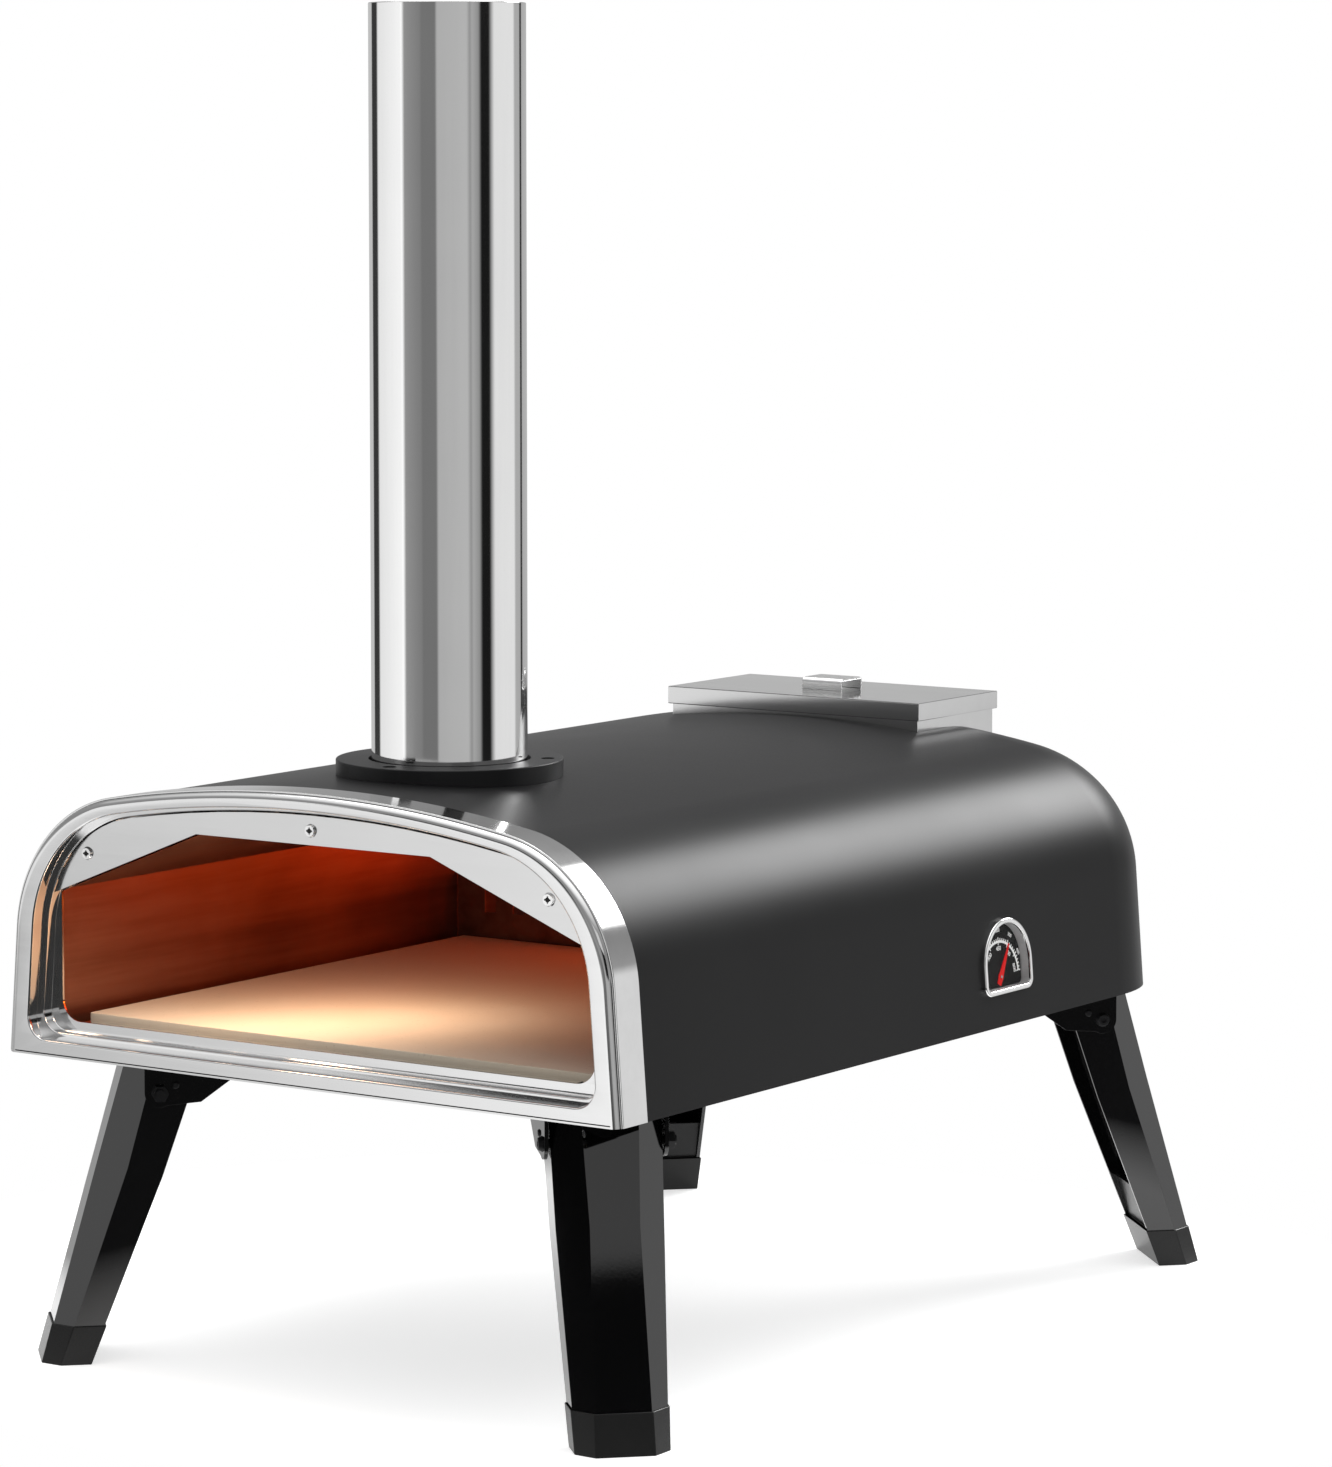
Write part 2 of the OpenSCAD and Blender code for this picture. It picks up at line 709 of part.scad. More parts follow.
// D-shaped outline: a round top on a flat bottom with rounded corners, grown by t
module dee(t) {
    r = dial_r + t;
    flat = dial_flat + t;
    corner = 6 + t;
    translate([0, dial_rise]) intersection() {
        circle(r, $fn = 120);
        translate([-r, 0]) square([2*r, r]);
    }
    translate([-r, -flat + corner]) square([2*r, dial_rise + flat - corner]);
    translate([-r + corner, -flat]) square([2*(r - corner), corner]);
    for (x = [-1, 1]) translate([x*(r - corner), -flat + corner]) circle(corner, $fn = fine);
}

module outward(x0, x1) {
    translate([x0, 0, 0]) rotate([90, 0, 90]) linear_extrude(x1 - x0) children();
}

// Cup that sinks through the shell and carries the dial at its back
module gauge_case() {
    color("#202020") at_body() at_gauge() difference() {
        outward(-cup_depth, lens_at) dee(-rim_w + cup_t);
        outward(dial_at, rim_out) dee(-rim_w);
        gauge_bore(stem_r);
    }
}

module gauge_bore(r) {
    translate([-2*cup_depth, 0, 0]) rotate([0, 90, 0]) cylinder(r = r, h = 4*cup_depth, $fn = fine);
}

module gauge_dial() {
    color("black") at_body() at_gauge() difference() {
        outward(dial_at, dial_at + dial_t) dee(-rim_w - 0.1);
        gauge_bore(0.9);
    }
}

module gauge_rim() {
    color("white") at_body() at_gauge() difference() {
        outward(0.05, rim_out) dee(0);
        outward(-cut, lens_at) dee(-rim_w + cup_t);
        outward(-cut, rim_out + cut) dee(-rim_w);
    }
}

module gauge_lens() {
    color("lightcyan", 0.35) at_body() at_gauge() outward(lens_at - lens_t, lens_at) dee(-rim_w - 0.1);
}

// Probe: it carries the needle's pivot, and its tip reaches into the chamber
module gauge_stem() {
    color("silver") at_body() at_gauge() {
        translate([stem_tip, 0, 0]) rotate([0, 90, 0])
            cylinder(r = stem_r, h = dial_at - stem_tip, $fn = fine);
        translate([dial_at - cut, 0, 0]) rotate([0, 90, 0])
            cylinder(r = 0.85, h = cut + dial_t + 1.2, $fn = fine);
    }
}

module gauge_nut() {
    nut = 3;
    color("silver") at_body() at_gauge() translate([-cup_depth - nut, 0, 0]) rotate([0, 90, 0]) difference() {
        cylinder(r = 6.4, h = nut, $fn = 6);
        translate([0, 0, -cut]) cylinder(r = stem_r, h = nut + 2*cut, $fn = fine);
    }
}

// The hub turns on the thin end of the stem
module gauge_needle() {
    reach = 20;
    tail = 4.6;
    color("red") at_body() at_gauge() rotate([needle_rest, 0, 0])
        outward(needle_at, needle_at + 0.5) difference() {
            union() {
                polygon([[-tail, -1.9], [0, -2.1], [reach, -0.35], [reach, 0.35], [0, 2.1], [-tail, 1.9]]);
                circle(2.5, $fn = fine);
            }
            circle(0.9, $fn = fine);
        }
}

// ---- Legs: local frame at the pivot, x outward along the diagonal, y across the leg ----

module at_corner(i) {
    translate([LEG_AT[i].x, front_y + LEG_AT[i].y, pivot_z]) rotate([0, 0, LEG_ANGLES[i]]) children();
}

// Chamfered outline of the leg's section, grown by t and deepened at the open back
function leg_outline(s, t, deeper) =
    let (k = t*tan(22.5), half = s[0]/2 + s[1], back = leg_out - s[2] - deeper)
    [[back, -half - t], [leg_out - s[1] + k, -half - t], [leg_out + t, -s[0]/2 - k],
     [leg_out + t, s[0]/2 + k], [leg_out - s[1] + k, half + t], [back, half + t]];

// Straight-sided solid between two sections of the leg. The pairs of edges are parallel, so
// every side is flat.
module leg_loft(z0, s0, z1, s1, t, deeper) {
    low = [for (p = leg_outline(s0, t, deeper)) [p.x, p.y, z0]];
    high = [for (p = leg_outline(s1, t, deeper)) [p.x, p.y, z1]];
    n = len(low);
    sides = [for (i = [0:n - 1]) [i, i + n, (i + 1) % n + n, (i + 1) % n]];
    rotate([0, -leg_tilt, 0]) polyhedron(concat(low, high),
        concat([[for (i = [0:n - 1]) i]], [[for (i = [n - 1:-1:0]) i + n]], sides));
}

module lower_leg(t) {
    leg_loft(foot_at, section_foot, kink_at, section_kink, t, t);
}

module upper_leg() {
    leg_loft(kink_at, section_kink, top_at, section_top, 0, 0);
}

// The inside of the channel is the outline shrunk by the sheet, and open at the back
module lower_channel() {
    leg_loft(foot_at, section_foot, kink_at, section_kink, -leg_t, 3*leg_t);
}

module upper_channel() {
    leg_loft(kink_at, section_kink, top_at, section_top, -leg_t, 3*leg_t);
}

// Keeps what lies between two heights above the ground, in the leg's local frame
module between(z0, z1) {
    intersection() {
        children();
        translate([-beyond/2, -beyond/2, z0 - pivot_z]) cube([beyond, beyond, z1 - z0]);
    }
}

// The top is cut level just under the body, and rounded about the pivot on its inner side
module leg(i) {
    top_gap = 2.4;
    round_r = pivot_drop - 4;
    color("#111111") at_corner(i) rotate([0, leg_fold, 0]) difference() {
        between(foot_sole, body_z - top_gap) {
            union() {
                upper_leg();
                lower_leg(0);
            }
        }
        upper_channel();
        lower_channel();
        difference() {
            translate([-beyond, -beyond/2, 0]) cube([beyond, beyond, beyond]);
            rotate([90, 0, 0]) cylinder(r = round_r, h = 2*bracket_in, center = true);
        }
        rotate([90, 0, 0]) cylinder(r = bolt_r + bolt_fit, h = 4*bracket_in, center = true, $fn = fine);
    }
}

// Cap over the foot, with a core inside the channel and a tongue up its open side
module foot(i) {
    tongue_t = 5;
    color("#0a0a0a") at_corner(i) rotate([0, leg_fold, 0]) {
        difference() {
            between(0, foot_cap_h) lower_leg(foot_skin);
            between(foot_sole, foot_cap_h + cut) difference() {
                lower_leg(0);
                lower_channel();
            }
        }
        between(foot_cap_h - 0.2, foot_tongue_h) intersection() {
            lower_channel();
            rotate([0, -leg_tilt, 0])
                translate([leg_out - section_foot[2] - 2.5, -beyond/2, -beyond])
                cube([tongue_t, beyond, beyond]);
        }
    }
}

// Plate under the body with an ear outside each flank of the leg
module bracket(i) {
    inner = -48;
    outer = 8;
    ear_r = 8;
    color("#0e0e0e") at_corner(i) difference() {
        union() {
            translate([inner, -bracket_in - bracket_t, pivot_drop + base_h - bracket_t])
                cube([outer - inner, 2*(bracket_in + bracket_t), bracket_t]);
            for (y = [-bracket_in - bracket_t, bracket_in]) translate([0, y + bracket_t, 0])
                rotate([90, 0, 0]) linear_extrude(bracket_t) {
                    circle(ear_r, $fn = fine);
                    polygon([[inner, pivot_drop - 4], [-38, 6], [-22, -5.5], [-ear_r*0.5, -ear_r*0.86],
                             [outer, 0], [outer, pivot_drop + base_h - 0.1],
                             [inner, pivot_drop + base_h - 0.1]]);
                }
        }
        rotate([90, 0, 0]) cylinder(r = bolt_r + bolt_fit, h = 4*bracket_in, center = true, $fn = fine);
        detent_places() cylinder(r = 1.2, h = 3*bracket_t, center = true, $fn = fine);
        bracket_screw_places() cylinder(r = 2, h = 4*bracket_t, center = true, $fn = fine);
    }
}

// Local x and z of the two detent rivets, one in each ear
module detent_places() {
    for (s = [0, 1]) mirror([0, s, 0]) translate([-8.5, bracket_in + bracket_t, 4]) rotate([90, 0, 0]) children();
}

module bracket_screw_places() {
    for (y = [-14, 14]) translate([-24, y, pivot_drop + base_h - bracket_t]) children();
}

module bracket_screws() {
    color("#1c1c1c") for (i = [0:3]) at_corner(i) bracket_screw_places() screw(1.95, 3.6, 1.6, 4);
}

module detent_rivets() {
    color("#333333") for (i = [0:3]) at_corner(i) detent_places() {
        cylinder(r = 1.2, h = bracket_t, $fn = fine);
        translate([0, 0, -0.9]) cylinder(r1 = 1.4, r2 = 2.1, h = 0.9, $fn = fine);
    }
}

// One long bolt through both ears and both flanks of each leg
module pivot_bolts() {
    head = 2.3;
    length = 2*(bracket_in + bracket_t) + 5;
    color("#222222") for (i = [0:3]) at_corner(i) translate([0, -bracket_in - bracket_t, 0])
        rotate([-90, 0, 0]) {
            cylinder(r = bolt_r, h = length, $fn = fine);
            translate([0, 0, -head]) difference() {
                cylinder(r1 = 3, r2 = 4.2, h = head, $fn = fine);
                translate([0, 0, -cut]) cylinder(r = 1.7, h = cut + head/2, $fn = 6);
            }
        }
}

module pivot_nuts() {
    nut = 4;
    color("#222222") for (i = [0:3]) at_corner(i) translate([0, bracket_in + bracket_t, 0])
        rotate([-90, 0, 0]) difference() {
            cylinder(r = 4.7, h = nut, $fn = 6);
            translate([0, 0, -cut]) cylinder(r = bolt_r + 0.01, h = nut + 2*cut, $fn = fine);
        }
}

// ---- Nodes ----

outer_shell();
base_plate();
rear_panel();
rear_screws();
bezel_band();
bezel_face();
mouth_frame();
baffle_panel();
baffle_screws();
inner_liner();
insulation();
flame_guard();
stone_rails();
tray_rails();
flue_collar();
chimney_flange();
flange_screws();
hopper_chute();
gauge_case();
gauge_dial();
gauge_rim();
gauge_lens();
gauge_stem();
gauge_nut();
gauge_needle();
chimney_tube();
hopper_lid();
lid_plug();
lid_handle();
tray_pan();
tray_plate();
tray_handle();
pizza_stone();
bracket(0);  // bracket_front_right
bracket(1);  // bracket_rear_right
bracket(2);  // bracket_rear_left
bracket(3);  // bracket_front_left
bracket_screws();
detent_rivets();
pivot_bolts();
pivot_nuts();
leg(0);  // leg_front_right
leg(1);  // leg_rear_right
leg(2);  // leg_rear_left
leg(3);  // leg_front_left
foot(0);  // foot_front_right
foot(1);  // foot_rear_right
foot(2);  // foot_rear_left
foot(3);  // foot_front_left
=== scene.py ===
import bpy, bmesh, json, math
from mathutils import Vector, Matrix
from mathutils.geometry import tessellate_polygon


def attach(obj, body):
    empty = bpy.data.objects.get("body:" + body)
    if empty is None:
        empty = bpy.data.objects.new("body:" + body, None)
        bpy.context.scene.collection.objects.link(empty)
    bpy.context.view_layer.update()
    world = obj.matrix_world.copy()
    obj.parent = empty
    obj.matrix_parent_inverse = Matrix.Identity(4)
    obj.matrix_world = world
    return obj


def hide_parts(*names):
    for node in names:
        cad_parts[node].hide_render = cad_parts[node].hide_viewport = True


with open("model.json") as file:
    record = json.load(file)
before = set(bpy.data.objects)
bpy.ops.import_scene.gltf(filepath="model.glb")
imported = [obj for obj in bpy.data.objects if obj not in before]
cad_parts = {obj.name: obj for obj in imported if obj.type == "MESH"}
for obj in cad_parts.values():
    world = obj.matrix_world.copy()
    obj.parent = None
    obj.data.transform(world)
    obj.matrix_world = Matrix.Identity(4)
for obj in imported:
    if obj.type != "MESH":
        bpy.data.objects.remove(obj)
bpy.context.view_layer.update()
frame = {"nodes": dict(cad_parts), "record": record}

scene = bpy.context.scene
nodes = frame["nodes"]
body_of = {n: b for b, ns in frame["record"]["behaviour"]["bodies"].items() for n in ns}
slot_of = {s["node"]: s["material_slot"] for s in frame["record"]["subparts"]}

# ---------------------------------------------------------------- camera
# Pitched a little, and not level, so that its shift stays small.
YAW, PITCH = math.radians(34.559), math.radians(4.858)
cam_data = bpy.data.cameras.new("camera")
cam = bpy.data.objects.new("camera", cam_data)
scene.collection.objects.link(cam)
scene.camera = cam
cam.location = (1.66955, -2.39591, 0.65291)
cam.rotation_euler = (math.pi / 2 - PITCH, 0, YAW)
cam_data.sensor_fit = "AUTO"
cam_data.sensor_width = 36
cam_data.lens = 129.5
cam_data.shift_y = -0.10
cam_data.clip_start, cam_data.clip_end = 0.05, 60

# ---------------------------------------------------------------- sizes, mm in the body's frame:
# x to the right, y back from the bezel's front, h up from the body's bottom edge
LENGTH = 604.0                                # from the bezel's front to the tray's tab
BODY_Z = 168.0                                # the body's bottom edge above the floor
HALF_W, BODY_H = 200.0, 152.0                 # half width at the bottom edge, height at the middle of the crown
CROWN_R, SHOULDER_R = 730.0, 80.0
LEAN = math.radians(4.4)                      # the sides lean in by this
CROWN_Z = BODY_H - CROWN_R                    # centre of the crown's arc
BAND_T, SHEET = 1.0, 1.2                      # thickness of the bezel's band, and of the other sheets
# arched holes: half width, height, shoulder radius, height of the floor, radius of the bottom corners
BEZEL_HOLE = (186.0, 143.0, 70.0, 8.0, 12.0)
FRAME_HOLE = (183.5, 140.5, 67.5, 11.0, 11.0)
FRAME_Y = 16.0                                # depth of the mouth frame's face
EAVE, RIDGE = (174.0, 86.0), (76.2, 124.4)    # corners of the mouth's cut-out
MOUTH_FLOOR, MOUTH_CORNER_R = 16.6, 12.0
ROLL_START, ROLL_R, SHELL_END = 496.0, 100.0, 566.0   # where the shell starts to roll in, on what radius
CHIMNEY_Y, TUBE_R, TUBE_FOOT, TUBE_TOP = 128, 41.35, 151.2, 723.6 - BODY_Z
FLANGE_R, FLANGE_HOLE_R, FLANGE_TOP = 60.3, 42.95, BODY_H + 6.3
SCREW_CIRCLE_R, SCREW_HOLE_R = 52.25, 3.7
HOPPER = (-85, 85, 460.3, 543.5)              # the chute's hole: x from and to, y from and to
# thermometer's outline from the needle's pivot: the arc's radius, how far down its flat bottom lies,
# how far up the arc's centre lies, and the radius of the bottom corners
DEE_R, DEE_FLAT, DEE_RISE, DEE_CORNER = 25.2, 8.6, 7.4, 6
DEE_LIP = 2.8                                 # width of its rim
DIAL_LIFT = -4.08                             # where the scale is printed, below the side's surface
SCALE_R, SCALE_FROM, SCALE_TO = 19.4, 4, 176  # the scale's arc, in mm and degrees
SMOOTH, SOFT = 35, 50                         # degrees up to which an edge is shaded smooth


def P(x, y, h):
    """World point of a point in the body's frame."""
    return Vector((x, y - LENGTH / 2, h + BODY_Z)) / 1000


# ---------------------------------------------------------------- node helpers
class Nodes:
    """Short ways to add shader nodes to a tree."""

    def __init__(self, tree):
        self.t = tree

    def add(self, kind, **props):
        n = self.t.nodes.new(kind)
        for k, v in props.items():
            setattr(n, k, v)
        return n

    def link(self, a, b):
        self.t.links.new(a, b)

    def coords(self, scale=(1, 1, 1)):
        tc = self.add("ShaderNodeTexCoord")
        mp = self.add("ShaderNodeMapping")
        mp.inputs["Scale"].default_value = scale
        self.link(tc.outputs["Object"], mp.inputs["Vector"])
        return mp.outputs["Vector"]

    def noise(self, vec, scale, detail=3.0, rough=0.55, dist=0.0):
        n = self.add("ShaderNodeTexNoise")
        n.inputs["Scale"].default_value = scale
        n.inputs["Detail"].default_value = detail
        n.inputs["Roughness"].default_value = rough
        n.inputs["Distortion"].default_value = dist
        self.link(vec, n.inputs["Vector"])
        return n.outputs["Fac"]

    def ramp(self, fac, stops):
        """Grey ramp over (position, value) stops."""
        r = self.add("ShaderNodeValToRGB")
        e = r.color_ramp.elements
        while len(e) < len(stops):
            e.new(0.5)
        for el, (p, c) in zip(e, stops):
            el.position = p
            el.color = (c, c, c, 1)
        self.link(fac, r.inputs["Fac"])
        return r.outputs["Color"]

    def span(self, fac, lo, hi, a, b):
        """Carries lo..hi over to a..b, and stops there."""
        m = self.add("ShaderNodeMapRange")
        for k, v in zip(("From Min", "From Max", "To Min", "To Max"), (lo, hi, a, b)):
            m.inputs[k].default_value = v
        self.link(fac, m.inputs["Value"])
        return m.outputs["Result"]

    def math(self, op, a, b=None):
        m = self.add("ShaderNodeMath", operation=op)
        for i, v in enumerate((a, b)):
            if v is None:
                continue
            if isinstance(v, (int, float)):
                m.inputs[i].default_value = v
            else:
                self.link(v, m.inputs[i])
        return m.outputs[0]

    def mix(self, fac, a, b):
        m = self.add("ShaderNodeMix", data_type="RGBA")
        self.link(fac, m.inputs["Factor"])
        for sock, v in ((m.inputs[6], a), (m.inputs[7], b)):
            if isinstance(v, tuple):
                sock.default_value = (*v, 1)
            else:
                self.link(v, sock)
        return m.outputs[2]

    def bump(self, height, strength, distance):
        b = self.add("ShaderNodeBump")
        b.inputs["Strength"].default_value = strength
        b.inputs["Distance"].default_value = distance
        self.link(height, b.inputs["Height"])
        return b.outputs["Normal"]


def grey(v):
    return (v, v, v)


def material(name, **consts):
    """A principled material; consts are set on its own sockets. Returns (material, Nodes, shader)."""
    m = bpy.data.materials.new(name)
    m.use_nodes = True
    sh = m.node_tree.nodes["Principled BSDF"]
    for k, v in consts.items():
        sock = sh.inputs[k.replace("_", " ")]
        sock.default_value = (*v, 1) if isinstance(v, tuple) else v
    return m, Nodes(m.node_tree), sh


def coated(name, base, lighter, rough, spread, grain, grain_bump, ior=1.5):
    """Paint or powder coat: a fine orange peel, slow drifts of tone, and roughness that varies a little."""
    m, n, sh = material(name, IOR=ior)
    v = n.coords()
    broad = n.noise(v, 9, 3)
    fine = n.noise(v, grain, 2, 0.6)
    n.link(n.mix(n.span(broad, 0.3, 0.7, 0, 1), base, lighter), sh.inputs["Base Color"])
    n.link(n.math("ADD", n.span(broad, 0.3, 0.7, rough, rough + spread), n.span(fine, 0.3, 0.7, 0, spread)),
           sh.inputs["Roughness"])
    n.link(n.bump(fine, grain_bump, 0.0002), sh.inputs["Normal"])
    return m


def metal(name, base, darker, rough, spread, streak, streak_bump, smudge=0.0):
    """Rolled or polished sheet: long fine streaks along one axis, and faint wide smudges."""
    m, n, sh = material(name, Metallic=1.0)
    lines = n.noise(n.coords(streak), 60, 4, 0.7)
    broad = n.noise(n.coords(), 14, 3, 0.5, 0.4)
    tone = n.math("ADD", n.math("MULTIPLY", lines, 0.6), n.math("MULTIPLY", broad, 0.4))
    n.link(n.mix(n.span(tone, 0.35, 0.65, 0, 1), darker, base), sh.inputs["Base Color"])
    n.link(n.math("ADD", n.span(lines, 0.3, 0.7, rough, rough + spread), n.span(broad, 0.45, 0.75, 0, smudge)),
           sh.inputs["Roughness"])
    n.link(n.bump(lines, streak_bump, 0.0001), sh.inputs["Normal"])
    return m


def stone_material():
    m, n, sh = material("cordierite")
    v = n.coords()
    broad = n.noise(v, 7, 4, 0.6)
    speck = n.noise(v, 420, 3, 0.7)
    base = n.mix(n.span(broad, 0.3, 0.7, 0, 1), (0.84, 0.72, 0.56), (0.90, 0.80, 0.66))
    spots = n.ramp(speck, [(0.0, 0), (0.62, 0), (0.72, 1)])
    n.link(n.mix(n.math("MULTIPLY", spots, 0.35), base, (0.55, 0.44, 0.33)), sh.inputs["Base Color"])
    n.link(n.span(speck, 0.3, 0.7, 0.78, 0.92), sh.inputs["Roughness"])
    n.link(n.bump(speck, 0.3, 0.0003), sh.inputs["Normal"])
    return m


def blanket_material():
    m, n, sh = material("ceramic_fibre", Roughness=0.95)
    fibre = n.noise(n.coords((1, 0.2, 1)), 300, 5, 0.75, 1.5)
    n.link(n.mix(fibre, (0.62, 0.59, 0.52), (0.84, 0.82, 0.77)), sh.inputs["Base Color"])
    n.link(n.bump(fibre, 0.7, 0.001), sh.inputs["Normal"])
    return m


def glass_material():
    m, n, sh = material("dial_glass", IOR=1.5, Alpha=0.10)
    v = n.coords()
    n.link(n.span(n.noise(v, 60, 2), 0.3, 0.7, 0.0, 0.03), sh.inputs["Roughness"])
    n.link(n.mix(n.noise(v, 20, 1), (0.02, 0.022, 0.022), (0.03, 0.032, 0.032)), sh.inputs["Base Color"])
    return m


# coated: colour, its lighter tone, roughness and its spread, grain's scale and bump
# metal: colour, its darker tone, roughness and its spread, the streaks' scale and bump
MAT = {
    "shell_black": coated("satin_black_shell", (0.009, 0.009, 0.0095), (0.012, 0.012, 0.0125), 0.33, 0.03,
                          900, 0.08, ior=1.25),
    "black_steel": coated("satin_black_steel", (0.012, 0.012, 0.013), (0.02, 0.02, 0.021), 0.34, 0.05,
                          1100, 0.12, ior=1.3),
    "leg_black": coated("gloss_black_legs", (0.003, 0.003, 0.0033), (0.004, 0.004, 0.0044), 0.015, 0.01,
                        700, 0.004, ior=1.65),
    "foot_black": coated("moulded_black_feet", grey(0.006), grey(0.009), 0.24, 0.06, 1500, 0.25, ior=1.35),
    "needle_red": coated("needle_red", (0.75, 0.004, 0.004), (0.85, 0.01, 0.008), 0.5, 0.04, 900, 0.02, ior=1.2),
    "dial_black": coated("dial_black", grey(0.004), grey(0.007), 0.45, 0.05, 1500, 0.05, ior=1.15),
    "dial_white": coated("dial_white", (0.82, 0.82, 0.80), (0.9, 0.9, 0.88), 0.5, 0.05, 1500, 0.02),
    "gauge_cup": coated("gauge_cup", grey(0.66), grey(0.74), 0.3, 0.05, 900, 0.02),
    # painted shade: flat black for the discs that stand in for the shade in the screws' recesses
    "painted_shade_disc": coated("painted_recess_shade", grey(0.004), grey(0.007), 0.5, 0.05, 900, 0.05),
    "polished_steel": metal("polished_steel", (0.93, 0.93, 0.925), grey(0.87), 0.045, 0.02,
                            (1, 1, 0.03), 0.02, smudge=0.015),
    "bezel_steel": metal("bezel_steel", grey(0.80), grey(0.74), 0.07, 0.02, (0.03, 1, 1), 0.02, smudge=0.02),
    "steel": metal("rolled_steel", grey(0.72), grey(0.66), 0.11, 0.03, (0.04, 1, 1), 0.03, smudge=0.02),
    # partly heat tint, partly painted light: the liner's base is made darker and redder to stand in for the shade and
    # red firelight in the chamber
    "inner_steel": metal("heat_tinted_steel_painted_fire_glow", (0.34, 0.17, 0.12), (0.20, 0.09, 0.06), 0.36, 0.10,
                         (1, 0.05, 1), 0.15, smudge=0.10),
    "handle_steel": metal("handle_steel", grey(0.92), grey(0.86), 0.24, 0.05, (0.05, 1, 1), 0.03),
    "white_screw": metal("bright_screws", grey(0.92), grey(0.80), 0.12, 0.05, (1, 1, 1), 0.05),
    "stone": stone_material(),
    "blanket": blanket_material(),
    "gauge_glass": glass_material(),
}
# painted light: the scale and the needle glow a little by emission, though they are no lamps, so they stay bright
# behind the glass
for key, colour, strength in (("dial_white", (1, 1, 1), 0.45), ("needle_red", (1, 0, 0), 0.30)):
    shader = MAT[key].node_tree.nodes["Principled BSDF"]
    shader.inputs["Emission Color"].default_value = (*colour, 1)
    shader.inputs["Emission Strength"].default_value = strength


# ---------------------------------------------------------------- outlines
def shoulder(hw, top, rs):
    """Centre of the shoulder's arc, which touches both the leaning side and the crown."""
    n = Vector((math.cos(LEAN), math.sin(LEAN)))
    d = Vector((-math.sin(LEAN), math.cos(LEAN)))
    q = Vector((hw, -CROWN_Z)) - rs * n
    b = q.dot(d)
    c = q.dot(q) - (top - CROWN_Z - rs) ** 2
    return Vector((hw, 0)) - rs * n + (math.sqrt(b * b - c) - b) * d


def arch_half(hw, top, rs, floor=0.0):
    """Right half of an arch from its floor to the middle of its crown: (x, h, normal x, normal h)."""
    side_steps, bend_steps, crown_steps = 6, 30, 18
    c = shoulder(hw, top, rs)
    phi = math.asin(c.x / (top - CROWN_Z - rs))
    n = Vector((math.cos(LEAN), math.sin(LEAN)))
    a = Vector((hw - math.tan(LEAN) * floor, floor))
    b = c + rs * n
    pts = [(*(a + (b - a) * i / side_steps), n.x, n.y) for i in range(side_steps)]
    for i in range(bend_steps + 1):
        t = LEAN + (math.pi / 2 - phi - LEAN) * i / bend_steps
        v = Vector((math.cos(t), math.sin(t)))
        pts.append((*(c + rs * v), v.x, v.y))
    for i in range(1, crown_steps + 1):
        t = math.pi / 2 - phi + phi * i / crown_steps
        v = Vector((math.cos(t), math.sin(t)))
        pts.append(((top - CROWN_Z) * v.x, CROWN_Z + (top - CROWN_Z) * v.y, v.x, v.y))
    return pts


def hole_outline(hole):
    """Closed outline of an arched hole with rounded bottom corners, from the middle of its floor."""
    hw, top, rs, floor, r = hole
    cz = floor + r
    cx = hw - (r + math.sin(LEAN) * cz) / math.cos(LEAN)
    pts = [(cx * i / 10, floor, 0.0, -1.0) for i in range(10)]
    for i in range(11):
        t = -math.pi / 2 + (math.pi / 2 + LEAN) * i / 10
        pts.append((cx + r * math.cos(t), cz + r * math.sin(t), math.cos(t), math.sin(t)))
    pts += arch_half(hw, top, rs, floor=pts[-1][1])[1:]
    return pts + [(-x, h, -nx, nh) for x, h, nx, nh in reversed(pts[1:-1])]


half_arch = arch_half(HALF_W, BODY_H, SHOULDER_R)
BODY_ARCH = half_arch + [(-x, h, -nx, nh) for x, h, nx, nh in reversed(half_arch[:-1])]


# ---------------------------------------------------------------- mesh helpers
def flatten(o):
    """Lets each large face keep its own normal, so that a rounded edge beside it doesn't bend its reflection."""
    wn = o.modifiers.new("normals", "WEIGHTED_NORMAL")
    wn.keep_sharp = True
    wn.mode = "FACE_AREA"


def shade(me, degrees):
    me.shade_smooth()
    me.set_sharp_from_angle(angle=math.radians(degrees))


def piece(name, shape, slot, body, replaces=(), smooth=SMOOTH, mat=None):
    """A visible piece from (vertices, faces), riding on a body."""
    verts, faces = shape
    me = bpy.data.meshes.new(name)
    me.from_pydata([tuple(v) for v in verts], [], faces)
    me.validate()
    bm = bmesh.new()
    bm.from_mesh(me)
    bmesh.ops.remove_doubles(bm, verts=bm.verts, dist=2e-6)
    bmesh.ops.recalc_face_normals(bm, faces=bm.faces)
    bm.to_mesh(me)
    bm.free()
    shade(me, smooth)
    me.materials.append(mat or MAT[slot])
    o = bpy.data.objects.new(name, me)
    scene.collection.objects.link(o)
    flatten(o)
    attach(o, body)
    if replaces:
        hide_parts(*replaces)
    return o


